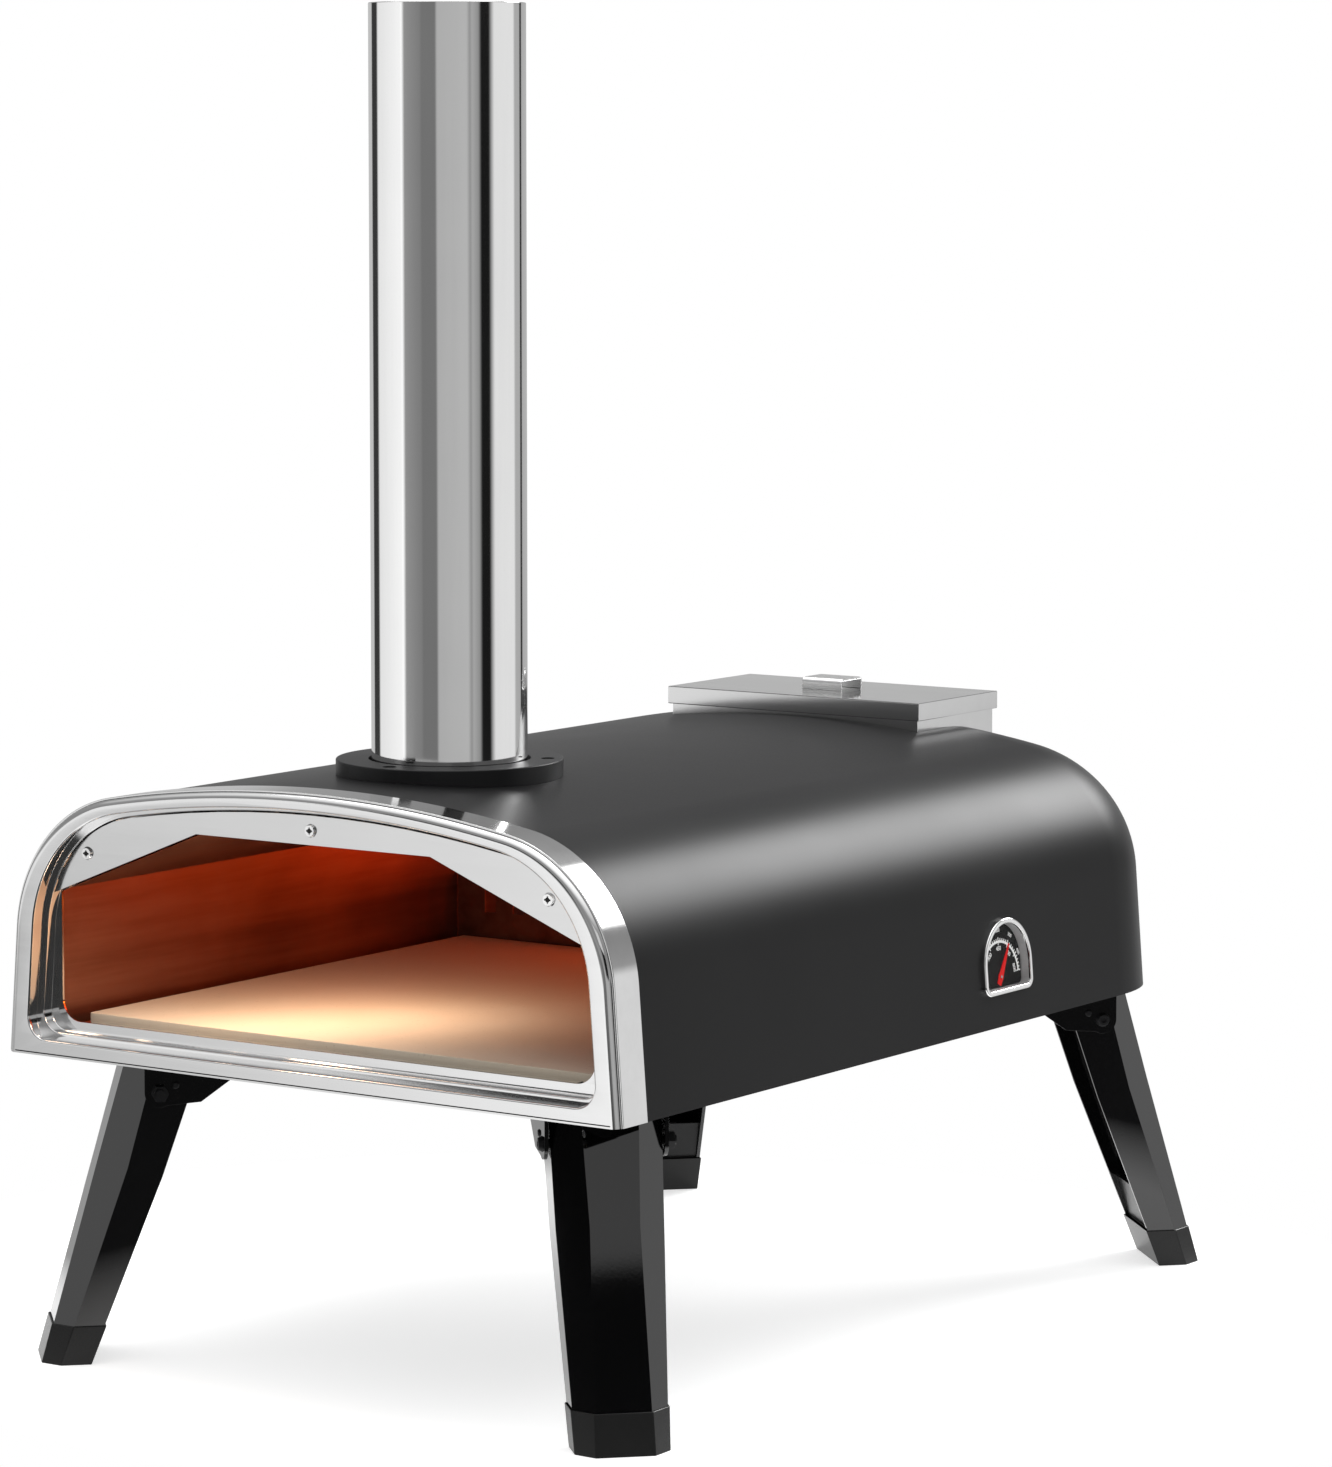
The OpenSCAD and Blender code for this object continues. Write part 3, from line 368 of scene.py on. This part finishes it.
def refine(node, bevel, mat=None):
    """The CAD solid as a clean mesh: flat faces joined, its folds and edges rounded, and shaded smooth."""
    fold = math.radians(28)
    me = nodes[node].data.copy()
    bm = bmesh.new()
    bm.from_mesh(me)
    bmesh.ops.remove_doubles(bm, verts=bm.verts, dist=3e-6)
    bmesh.ops.dissolve_limit(bm, angle_limit=math.radians(0.6), verts=bm.verts, edges=bm.edges,
                             delimit={"NORMAL"})
    bm.normal_update()
    edges = [e for e in bm.edges if len(e.link_faces) == 2 and e.calc_face_angle(0) > fold]
    if edges:
        bmesh.ops.bevel(bm, geom=edges, offset=bevel / 1000, segments=2, profile=0.6, affect="EDGES",
                        clamp_overlap=True)
    bm.to_mesh(me)
    bm.free()
    for a in ("custom_normal", "sharp_face", "sharp_edge"):
        if a in me.attributes:
            me.attributes.remove(me.attributes[a])
    shade(me, SOFT)
    me.materials.clear()
    me.materials.append(mat or MAT[slot_of[node]])
    o = bpy.data.objects.new(node + "_form", me)
    scene.collection.objects.link(o)
    flatten(o)
    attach(o, body_of[node])
    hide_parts(node)


def skin(verts, n, m, closed_path=True, closed_profile=True):
    """Faces between n rows of m vertices each."""
    faces = []
    for i in range(n if closed_path else n - 1):
        a, b = i * m, ((i + 1) % n) * m
        for j in range(m if closed_profile else m - 1):
            k = (j + 1) % m
            faces.append((a + j, a + k, b + k, b + j))
    return verts, faces


def bar(verts):
    """Solid between two like loops of vertices, one after the other in the list."""
    n = len(verts) // 2
    sides = [(i, (i + 1) % n, (i + 1) % n + n, i + n) for i in range(n)]
    return verts, sides + [tuple(range(n)), tuple(range(2 * n - 1, n - 1, -1))]


def prism(loop, along):
    """Solid from a flat loop of world points, extruded by a vector."""
    return bar(list(loop) + [p + along for p in loop])


def sweep(path, profile):
    """Carries a closed profile of (out, y) points along an open path of (x, h, nx, nh) points, and caps it."""
    n, m = len(path), len(profile)
    verts = [P(x + nx * out, y, h + nh * out) for x, h, nx, nh in path for out, y in profile]
    verts, faces = skin(verts, n, m, closed_path=False)
    faces.append(tuple(range(m)))
    faces.append(tuple((n - 1) * m + j for j in reversed(range(m))))
    return verts, faces


def flat_ring(outer, inner, y):
    """Flat face at depth y between two outlines of (x, h)."""
    loops = [[P(x, y, h) for x, h in outer], [P(x, y, h) for x, h in inner]]
    flat = [[Vector((v.x, v.z, 0)) for v in loop] for loop in loops]
    return [v for loop in loops for v in loop], [tuple(t) for t in tessellate_polygon(flat)]


def offset(outline, out):
    """The outline of (x, h, nx, nh) points, grown by out."""
    return [(x + nx * out, h + nh * out) for x, h, nx, nh in outline]


def join(*parts):
    verts, faces = [], []
    for v, f in parts:
        base = len(verts)
        verts += v
        faces += [tuple(i + base for i in t) for t in f]
    return verts, faces


def lathe(profile, cx, cy, segments=192):
    """Turns (r, h) points, a closed loop, round the vertical axis at cx, cy. mm in the body's frame."""
    angles = [2 * math.pi * i / segments for i in range(segments)]
    verts = [P(cx + r * math.cos(a), cy + r * math.sin(a), h) for a in angles for r, h in profile]
    return skin(verts, segments, len(profile))


def rounded(points, r, steps=4):
    """A closed loop of 2-D points with each corner rounded by up to r (or by its own third value)."""
    out, n = [], len(points)
    for i, p in enumerate(points):
        rr = p[2] if len(p) > 2 else r
        b = Vector(p[:2])
        a, c = Vector(points[i - 1][:2]), Vector(points[(i + 1) % n][:2])
        u, v = (a - b).normalized(), (c - b).normalized()
        ang = u.angle(v)
        if rr <= 0 or ang > math.radians(178):
            out.append((b.x, b.y))
            continue
        t = min(rr / math.tan(ang / 2), (a - b).length * 0.49, (c - b).length * 0.49)
        p0, p1 = b + u * t, b + v * t
        for s in range(steps + 1):
            k = s / steps
            q = p0 * (1 - k) ** 2 + b * 2 * k * (1 - k) + p1 * k * k
            out.append((q.x, q.y))
    return out


def cutter(shape):
    """A closed solid to cut with, removed again by cut_with."""
    verts, faces = shape
    me = bpy.data.meshes.new("cutter")
    me.from_pydata([tuple(v) for v in verts], [], faces)
    bm = bmesh.new()
    bm.from_mesh(me)
    bmesh.ops.recalc_face_normals(bm, faces=bm.faces)
    bm.to_mesh(me)
    bm.free()
    o = bpy.data.objects.new("cutter", me)
    scene.collection.objects.link(o)
    return o


def cut_with(obj, *cutters):
    """Boolean cuts, applied, then smooth shading again."""
    obj.modifiers.clear()
    for c in cutters:
        m = obj.modifiers.new("cut", "BOOLEAN")
        m.operation, m.solver, m.object = "DIFFERENCE", "EXACT", c
    bpy.context.view_layer.update()
    me = bpy.data.meshes.new_from_object(obj.evaluated_get(bpy.context.evaluated_depsgraph_get()))
    obj.modifiers.clear()
    obj.data = me
    for c in cutters:
        bpy.data.objects.remove(c)
    shade(me, SMOOTH)
    flatten(obj)


# ---------------------------------------------------------------- thermometer's frame
GAUGE_Y, GAUGE_UP = 373.5, 26.5
G0 = Vector((HALF_W - BAND_T * math.cos(LEAN) - GAUGE_UP * math.sin(LEAN), GAUGE_Y,
             GAUGE_UP * math.cos(LEAN) - BAND_T * math.sin(LEAN)))


def G(out, along, up):
    """Point by the dial: out from the side, along the body, up the side."""
    x = G0.x + out * math.cos(LEAN) - up * math.sin(LEAN)
    h = G0.z + out * math.sin(LEAN) + up * math.cos(LEAN)
    return P(x, G0.y + along, h)


def dee(t):
    """D-shaped outline (along, up, normal) grown by t: a round top on a flat bottom."""
    arc_steps, corner_steps = 40, 8
    R, flat, c = DEE_R + t, DEE_FLAT + t, DEE_CORNER + t
    pts = []
    for i in range(arc_steps + 1):
        a = math.pi * i / arc_steps
        pts.append((R * math.cos(a), DEE_RISE + R * math.sin(a), math.cos(a), math.sin(a)))
    for cx, start in ((-R + c, math.pi), (R - c, 1.5 * math.pi)):
        for i in range(corner_steps + 1):
            a = start + math.pi / 2 * i / corner_steps
            pts.append((cx + c * math.cos(a), -flat + c + c * math.sin(a), math.cos(a), math.sin(a)))
    return pts


# ---------------------------------------------------------------- shell
def shell():
    """The arched sheet with its rear end rolled in, and its holes for chimney, hopper and thermometer."""
    stations = [(BAND_T, y) for y in [5, 15, 40, 90, 150, 210, 270, 330, 385, 440, 480]]
    last = math.asin((SHELL_END - 1.5 - ROLL_START) / ROLL_R)
    for i in range(27):
        a = last * i / 26
        stations.append((BAND_T + ROLL_R * (1 - math.cos(a)), ROLL_START + ROLL_R * math.sin(a)))
    t_end = BAND_T + ROLL_R - math.sqrt(ROLL_R ** 2 - (SHELL_END - ROLL_START) ** 2)
    outer = stations + [(t_end + 0.2, SHELL_END - 0.55), (t_end + 0.9, SHELL_END), (t_end + 6, SHELL_END),
                        (t_end + 10, SHELL_END)]
    inner = [(t_end + 10, SHELL_END - SHEET), (t_end + 3, SHELL_END - SHEET)]
    inner += [(t + SHEET, y - (0.6 if y > ROLL_START + 40 else 0)) for t, y in reversed(stations)]
    loop = [(-t, y) for t, y in outer + inner]
    o = piece("shell_form", sweep(BODY_ARCH, loop), "shell_black", "oven", ("outer_shell",))
    chimney = lathe([(0.001, 100), (43, 100), (43, 190), (0.001, 190)], 0, CHIMNEY_Y, 96)
    x0, x1, y0, y1 = HOPPER
    hopper = prism([P(x0, y0, 90), P(x1, y0, 90), P(x1, y1, 90), P(x0, y1, 90)], Vector((0, 0, 0.1)))
    gauge = prism([G(-6, a, u) for a, u, _, _ in dee(-1.9)], G(6, 0, 0) - G(-6, 0, 0))
    cut_with(o, cutter(chimney), cutter(hopper), cutter(gauge))


shell()

# ---------------------------------------------------------------- bezel
band = rounded([(0, 3.2), (0, 24), (-BAND_T - 0.05, 24), (-BAND_T - 0.05, 3.2)], 0.35)
piece("bezel_band_form", sweep(BODY_ARCH, band), "polished_steel", "oven", ("bezel_band",),
      mat=MAT["bezel_steel"])


def bezel_face():
    """Face of the bezel: a rolled bead along the band, a flat ring, and the wall of its hole."""
    gap, r, w = 1.1, 4.0, SHEET
    flat = -gap - r - 0.5
    quarter = [-math.pi / 2 * i / 12 for i in range(13)]
    # from the back of the bead round to the flat, then the same inside
    outer = [(-gap - r + r * math.cos(a), r + r * math.sin(a)) for a in quarter]
    inside = [(-gap - r + (r - w) * math.cos(a), r + (r - w) * math.sin(a)) for a in reversed(quarter)]
    bead = sweep(BODY_ARCH, [(-gap, 6.0)] + outer + [(flat, 0.0), (flat, w)] + inside + [(-gap - w, 6.0)])
    hole, lip = hole_outline(BEZEL_HOLE), 1.0
    face = flat_ring(offset(BODY_ARCH, flat), offset(hole, lip), 0.0)
    # rolled edge of the hole and the wall behind it
    wall = [(lip * (1 - math.sin(a)), lip * (1 - math.cos(a))) for a in [math.pi / 2 * i / 5 for i in range(6)]]
    wall += [(0.0, 9.4), (w, 9.4), (w, 2.2)]
    verts = [P(x + nx * out, y, h + nh * out) for x, h, nx, nh in hole for out, y in wall]
    wall = skin(verts, len(hole), len(wall), closed_profile=False)
    # bottom return under the face
    x0 = HALF_W - gap - r - 1
    ret = rounded([(0.0, 0.0, 0.7), (0.0, 1.2), (10.0, 1.2), (10.0, 0.0)], 0.0)
    return join(bead, face, wall, bar([P(x, y, h) for x in (-x0, x0) for y, h in ret]))


piece("bezel_face_form", bezel_face(), "polished_steel", "oven", ("bezel_face",), SOFT, MAT["bezel_steel"])


def mouth_outline():
    """The mouth's opening as (x, h): a flat floor, round corners, upright sides and a sloping top."""
    r, x, h = MOUTH_CORNER_R, EAVE[0] - MOUTH_CORNER_R, MOUTH_FLOOR + MOUTH_CORNER_R
    pts = [(x * i / 10, MOUTH_FLOOR) for i in range(10)]
    for i in range(9):
        a = -math.pi / 2 + math.pi / 2 * i / 8
        pts.append((x + r * math.cos(a), h + r * math.sin(a)))
    pts += [EAVE, RIDGE]
    return pts + [(-a, b) for a, b in reversed(pts[1:])]


def mouth_frame():
    """Frame inside the bezel: a stepped wall, the face with the mouth in it, and the lip under the stone."""
    a, b = hole_outline(BEZEL_HOLE), hole_outline(FRAME_HOLE)
    # (hole, distance out from it, depth), from the front to the back
    steps = ((a, 1.2, 9.4), (a, -0.2, 9.4), (b, 0.7, 9.4), (b, 0.25, 9.55), (b, 0.0, 10.0), (b, 0.0, 15.2),
             (b, -0.15, 15.75), (b, -0.6, FRAME_Y))
    verts = [P(x, y, h) for hole, out, y in steps for x, h in offset(hole, out)]
    wall = skin(verts, len(steps), len(a), closed_path=False)
    inner, back_y = mouth_outline(), FRAME_Y + SHEET
    face = flat_ring(offset(b, -0.6), inner, FRAME_Y)
    edge = skin([P(x, y, h) for y in (FRAME_Y, back_y) for x, h in inner], 2, len(inner), closed_path=False)
    lip = rounded([(16.0, 16.6, 0.5), (23.4, 16.6), (23.4, 15.4), (16.6, 15.4)], 0.0)
    lip = skin([P(x, y, h) for x in (-161, 161) for y, h in lip], 2, len(lip), closed_path=False)
    back = flat_ring(offset(b, 0.9), inner, back_y)
    return join(wall, face, edge, lip, back)


piece("mouth_frame_form", mouth_frame(), "polished_steel", "oven", ("mouth_frame",), SOFT, MAT["bezel_steel"])

# ---------------------------------------------------------------- chimney and flange
tube = rounded([(TUBE_R, TUBE_FOOT, 0.3), (TUBE_R, TUBE_TOP, 0.45), (TUBE_R - 1, TUBE_TOP, 0.45),
                (TUBE_R - 1, TUBE_FOOT, 0.3)], 0)
piece("chimney_form", lathe(tube, 0, CHIMNEY_Y), "polished_steel", "chimney", ("chimney_tube",), 40)
COLLAR_R = TUBE_R - 1.05
collar = rounded([(COLLAR_R, 126.8), (COLLAR_R, 148.7), (TUBE_R + 0.8, 149.2, 0.5), (TUBE_R + 0.8, 151.2, 0.5),
                  (COLLAR_R, 151.2), (COLLAR_R, 179.5, 0.5), (COLLAR_R - SHEET, 179.5, 0.5),
                  (COLLAR_R - SHEET, 126.8)], 0)
piece("flue_collar_form", lathe(collar, 0, CHIMNEY_Y), "steel", "oven", ("flue_collar",), 40)


def flange():
    """Ring round the chimney's foot, with three screw holes; its under side is cut to follow the crown."""
    foot = 147.6
    ring = rounded([(FLANGE_R, foot), (FLANGE_R, FLANGE_TOP, 0.9), (FLANGE_HOLE_R, FLANGE_TOP, 0.5),
                    (FLANGE_HOLE_R, foot)], 0)
    o = piece("flange_form", lathe(ring, 0, CHIMNEY_Y), "black_steel", "oven", ("chimney_flange",), 40)
    lo, hi = FLANGE_TOP - 2.6, FLANGE_TOP + 3
    cuts = []
    for a in (math.radians(30), math.radians(150), math.radians(270)):
        cuts.append(cutter(lathe([(0.001, lo), (SCREW_HOLE_R, lo), (SCREW_HOLE_R, hi), (0.001, hi)],
                                 SCREW_CIRCLE_R * math.cos(a), CHIMNEY_Y + SCREW_CIRCLE_R * math.sin(a), 40)))
    xs = [-80 + 4 * i for i in range(41)]
    crown = [P(x, 40, CROWN_Z + math.sqrt((CROWN_R - 0.95) ** 2 - x * x)) for x in xs]
    cuts.append(cutter(prism([P(-80, 40, 100)] + crown + [P(80, 40, 100)], Vector((0, 0.18, 0)))))
    cut_with(o, *cuts)


flange()


# ---------------------------------------------------------------- thermometer
def gauge_rim():
    prof = rounded([(0, 0.05), (0, 2.2, 1.0), (-DEE_LIP, 2.2, 0.6), (-DEE_LIP, 0.8), (-2.0, 0.8),
                    (-2.0, 0.05)], 0, 5)
    path = dee(0)
    verts = [G(lift, a + na * out, u + nu * out) for a, u, na, nu in path for out, lift in prof]
    return skin(verts, len(path), len(prof))


piece("gauge_rim_form", gauge_rim(), "polished_steel", "oven", ("gauge_rim",), 40)


def dial_marks():
    """White scale: an arc band with ticks on both sides of it."""
    parts = []

    def quad(r0, r1, a0, a1):
        a0, a1 = math.radians(a0), math.radians(a1)
        pts = [(r0, a0), (r1, a0), (r1, a1), (r0, a1)]
        parts.append(([G(DIAL_LIFT, q * math.cos(t), q * math.sin(t)) for q, t in pts], [(0, 1, 2, 3)]))

    sweep_deg, arc_steps, ticks, half_tick = SCALE_TO - SCALE_FROM, 60, 30, 1.1
    for i in range(arc_steps):
        a = SCALE_FROM + sweep_deg * i / arc_steps
        quad(SCALE_R - 0.7, SCALE_R + 0.7, a, a + sweep_deg / arc_steps)
    for i in range(ticks + 1):
        a = SCALE_FROM + sweep_deg * i / ticks
        major = i % 5 == 0
        quad(SCALE_R + 0.6, SCALE_R + (2.3 if major else 1.8), a - half_tick, a + half_tick)
        if major:
            quad(SCALE_R - 2.0, SCALE_R - 0.5, a - half_tick, a + half_tick)
    return join(*parts)


def outer_ring(a):
    """Halfway between the ticks and the rim, where the line at angle a from the pivot meets the rim."""
    up = DEE_RISE * math.sin(a)
    edge = up + math.sqrt((DEE_R - DEE_LIP) ** 2 - DEE_RISE ** 2 + up ** 2)
    return (21.4 + edge) / 2


def digits():
    """Generic figures: one row outside the arc and one inside it."""
    verts, faces = [], []
    outside = [(w, 2.8, math.radians(150 - 30 * i)) for i, w in enumerate(("60", "100", "200", "300", "400"))]
    inside = [(w, 3.3, math.radians(168 - 39 * i)) for i, w in enumerate(("150", "300", "450", "600", "800"))]
    for row, ring in ((outside, outer_ring), (inside, lambda a: 15.6)):
        for word, size, a in row:
            cu = bpy.data.curves.new("digits", "FONT")
            cu.body, cu.size = word, size
            cu.align_x, cu.align_y, cu.offset = "CENTER", "CENTER", 0.06
            tmp = bpy.data.objects.new("digits", cu)
            scene.collection.objects.link(tmp)
            bpy.context.view_layer.update()
            me = tmp.to_mesh()
            turn = Matrix.Rotation(a - math.pi / 2, 3, "Z")
            base = len(verts)
            for v in me.vertices:
                q = turn @ Vector((v.co.x, v.co.y, 0))
                verts.append(G(DIAL_LIFT, q.x + ring(a) * math.cos(a), q.y + ring(a) * math.sin(a)))
            faces += [tuple(j + base for j in p.vertices) for p in me.polygons]
            tmp.to_mesh_clear()
            bpy.data.objects.remove(tmp)
            bpy.data.curves.remove(cu)
    return verts, faces


piece("dial_scale", join(dial_marks(), digits()), "dial_black", "oven", mat=MAT["dial_white"])

# ---------------------------------------------------------------- painted shade: flat black discs in the mouth's three screws stand in for the shade in their recesses
RECESS_R, RECESS_Y = 1.3, 8.12
for i, (x, h) in enumerate(((-150.2, 108.7), (0, 131.9), (150.2, 108.7))):
    turns = [2 * math.pi * k / 24 for k in range(24)]
    ring = [P(x + RECESS_R * math.cos(a), RECESS_Y, h + RECESS_R * math.sin(a)) for a in turns]
    disc = prism(ring, Vector((0, 0.0002, 0)))
    piece("screw_recess_shade_%d" % i, disc, "black_steel", "oven", mat=MAT["painted_shade_disc"])

# ---------------------------------------------------------------- the rest, from the CAD's own solids
# (node, width of its rounded edges in mm, its material if that isn't its slot's)
for row in (("gauge_needle", 0.1), ("gauge_case", 0.15, MAT["gauge_cup"]), ("gauge_dial", 0.05),
            ("gauge_lens", 0.05), ("gauge_stem", 0.1), ("gauge_nut", 0.2), ("base_plate", 0.3),
            ("rear_panel", 0.25), ("rear_screws", 0.15), ("baffle_panel", 0.3), ("baffle_screws", 0.2),
            ("inner_liner", 0.3), ("insulation", 0.5), ("flame_guard", 0.3), ("stone_rails", 0.3), ("tray_rails", 0.3),
            ("flange_screws", 0.2), ("hopper_chute", 0.35), ("hopper_lid", 0.55), ("lid_plug", 0.4),
            ("lid_handle", 0.3, MAT["handle_steel"]), ("tray_pan", 0.25), ("tray_plate", 0.35),
            ("tray_handle", 0.3), ("pizza_stone", 0.7), ("bracket_screws", 0.2), ("detent_rivets", 0.2),
            ("pivot_bolts", 0.35), ("pivot_nuts", 0.35)):
    refine(*row)
for corner in ("front_right", "rear_right", "rear_left", "front_left"):
    refine("bracket_" + corner, 0.3)
    refine("leg_" + corner, 0.9)
    refine("foot_" + corner, 0.5)


# ---------------------------------------------------------------- floor
def floor():
    """A pale disc that fades out into the white of the studio."""
    me = bpy.data.meshes.new("floor")
    n, rings = 96, [0.2, 0.4, 0.6, 0.8]
    verts = [(0, 0, 0)]
    for r in rings:
        verts += [(r * math.cos(2 * math.pi * i / n), r * math.sin(2 * math.pi * i / n), 0) for i in range(n)]
    faces = [(0, 1 + i, 1 + (i + 1) % n) for i in range(n)]
    for k in range(len(rings) - 1):
        a, b = 1 + k * n, 1 + (k + 1) * n
        faces += [(a + i, b + i, b + (i + 1) % n, a + (i + 1) % n) for i in range(n)]
    me.from_pydata(verts, [], faces)
    o = bpy.data.objects.new("floor", me)
    scene.collection.objects.link(o)
    m, nd, sh = material("pale_floor", Base_Color=grey(0.70), Roughness=0.8, Specular_IOR_Level=0.1,
                         Emission_Color=grey(1), Emission_Strength=0.68)
    reach = nd.add("ShaderNodeVectorMath", operation="LENGTH")
    nd.link(nd.coords((1, 1.15, 1)), reach.inputs[0])
    nd.link(nd.span(reach.outputs["Value"], 0.39, 0.49, 1.0, 0.0), sh.inputs["Alpha"])
    me.materials.append(m)


floor()

# ---------------------------------------------------------------- world: a studio of soft vertical panels
# Each stop is (degrees, radiance). Degrees run round the horizon from WORLD_TURN short of the X axis.
WORLD_TURN = math.radians(53.1)
BANDS = [(-180, 0.55), (-146, 0.55), (-143, 0.04), (-126, 0.04), (-122, 0.84), (-73, 1.0), (-71, 1.15),
         (-66, 0.30), (-41, 0.22), (-38, 0.18), (-18, 0.18), (-15, 0.46), (28, 0.50), (33, 0.30), (36, 0.42),
         (46, 0.30), (50, 0.01), (63, 0.01), (67, 0.36), (72, 0.80), (112, 0.82), (116, 0.44), (130, 0.42),
         (132, 0.02), (136, 0.02), (139, 0.44), (180, 0.50)]
# the same below the horizon, where the floor has faded out
LOW = [(-180, 0.6), (-95, 0.42), (-80, 0.46), (-72, 1.15), (-60, 1.2), (-53, 0.05), (62, 0.05), (80, 0.6),
       (180, 0.7)]
# ceiling by height: grey, with a big soft light overhead
DOME = [(0.0, 0.40), (0.3, 0.28), (0.55, 0.35), (0.8, 1.1), (1.0, 1.5)]
# flats: azimuth from the X axis, half width, lowest and highest z, radiance
FLATS = ((-34, 16, 0.06, 0.313, 0.01), (-34, 16, 0.313, 0.52, 0.72), (-116.2, 11.2, 0.05, 0.22, 0.01),
         (-134, 6.5, 0.05, 0.22, 1.0), (121, 9, 0.07, 0.13, 0.60))
# soft round panel: azimuth from the X axis, elevation, inner and outer radius in degrees, radiance
PANEL_AZ, PANEL_EL = math.radians(76.5), math.radians(29)
PANEL_IN, PANEL_OUT, PANEL_POWER = math.radians(4), math.radians(17), 15.0


def studio():
    w = bpy.data.worlds.new("studio")
    scene.world = w
    w.use_nodes = True
    w.node_tree.nodes.clear()
    n = Nodes(w.node_tree)
    tc = n.add("ShaderNodeTexCoord")
    rot = n.add("ShaderNodeVectorRotate", rotation_type="Z_AXIS")
    rot.inputs["Angle"].default_value = WORLD_TURN
    n.link(tc.outputs["Generated"], rot.inputs["Vector"])
    sep = n.add("ShaderNodeSeparateXYZ")
    n.link(rot.outputs["Vector"], sep.inputs["Vector"])
    z = sep.outputs["Z"]
    az = n.math("ARCTAN2", sep.outputs["Y"], sep.outputs["X"])
    around = n.span(az, -math.pi, math.pi, 0, 1)
    bands = n.ramp(around, [((a + 180) / 360, c) for a, c in BANDS])
    dome = n.ramp(n.span(z, 0.0, 1.0, 0, 1), DOME)
    col = n.mix(n.span(z, 0.035, 0.10, 0, 1), bands, dome)
    true_az = n.math("ADD", az, -WORLD_TURN)
    for centre, half, lo, hi, value in FLATS:
        d = n.math("ABSOLUTE", n.math("SUBTRACT", true_az, math.radians(centre)))
        inside = n.math("MULTIPLY", n.span(d, math.radians(half), math.radians(half + 0.3), 1, 0),
                        n.math("MULTIPLY", n.span(z, lo, lo + 0.004, 0, 1), n.span(z, hi, hi + 0.004, 1, 0)))
        col = n.mix(inside, col, grey(value))
    dot = n.add("ShaderNodeVectorMath", operation="DOT_PRODUCT")
    n.link(tc.outputs["Generated"], dot.inputs[0])
    dot.inputs[1].default_value = (math.cos(PANEL_AZ) * math.cos(PANEL_EL),
                                   math.sin(PANEL_AZ) * math.cos(PANEL_EL), math.sin(PANEL_EL))
    panel = n.add("ShaderNodeMapRange", interpolation_type="SMOOTHSTEP")
    panel.inputs["From Min"].default_value = math.cos(PANEL_OUT)
    panel.inputs["From Max"].default_value = math.cos(PANEL_IN)
    panel.inputs["To Max"].default_value = PANEL_POWER
    n.link(dot.outputs["Value"], panel.inputs["Value"])
    add = n.add("ShaderNodeVectorMath", operation="ADD")
    n.link(col, add.inputs[0])
    n.link(panel.outputs["Result"], add.inputs[1])
    low = n.ramp(around, [((a + 180) / 360, c) for a, c in LOW])
    col = n.mix(n.span(z, -0.122, -0.145, 0, 1), add.outputs["Vector"], low)
    seen = n.add("ShaderNodeLightPath")
    col = n.mix(seen.outputs["Is Camera Ray"], col, (1.0, 1.0, 1.0))
    bg = n.add("ShaderNodeBackground")
    n.link(col, bg.inputs["Color"])
    out = n.add("ShaderNodeOutputWorld")
    n.link(bg.outputs[0], out.inputs[0])


studio()


# ---------------------------------------------------------------- lights
def light(name, kind, loc, power, colour):
    d = bpy.data.lights.new(name, kind)
    d.energy, d.color = power, colour
    o = bpy.data.objects.new(name, d)
    scene.collection.objects.link(o)
    o.location = loc
    return o


def area(name, loc, target, size, power, colour=(1, 1, 1), spread=180):
    """Rectangular light that faces a target."""
    o = light(name, "AREA", loc, power, colour)
    o.data.shape, o.data.size, o.data.size_y = "RECTANGLE", size[0], size[1]
    o.data.spread = math.radians(spread)
    o.rotation_euler = (Vector(target) - Vector(loc)).to_track_quat("-Z", "Y").to_euler()


def glow(name, loc, power, colour, radius):
    light(name, "POINT", loc, power, colour).data.shadow_soft_size = radius


area("top_soft", (-0.4, 0.3, 2.2), (0, 0, 0.2), (1.6, 1.6), 22)
# warm glow of the fire at the back of the chamber
glow("fire_right", P(120, 390, 75), 0.35, (1.0, 0.16, 0.015), 0.03)
glow("fire_left", P(-60, 400, 70), 0.12, (1.0, 0.08, 0.01), 0.03)
glow("ember_front", P(-90, 150, 95), 0.02, (1.0, 0.06, 0.01), 0.02)
# warm light on the front of the stone
area("stone_front", P(-45, 48, 112), P(-62, 58, 20), (0.18, 0.04), 0.17, (1.0, 0.70, 0.48), spread=150)

scene.view_settings.view_transform = "Standard"
scene.view_settings.look = "None"
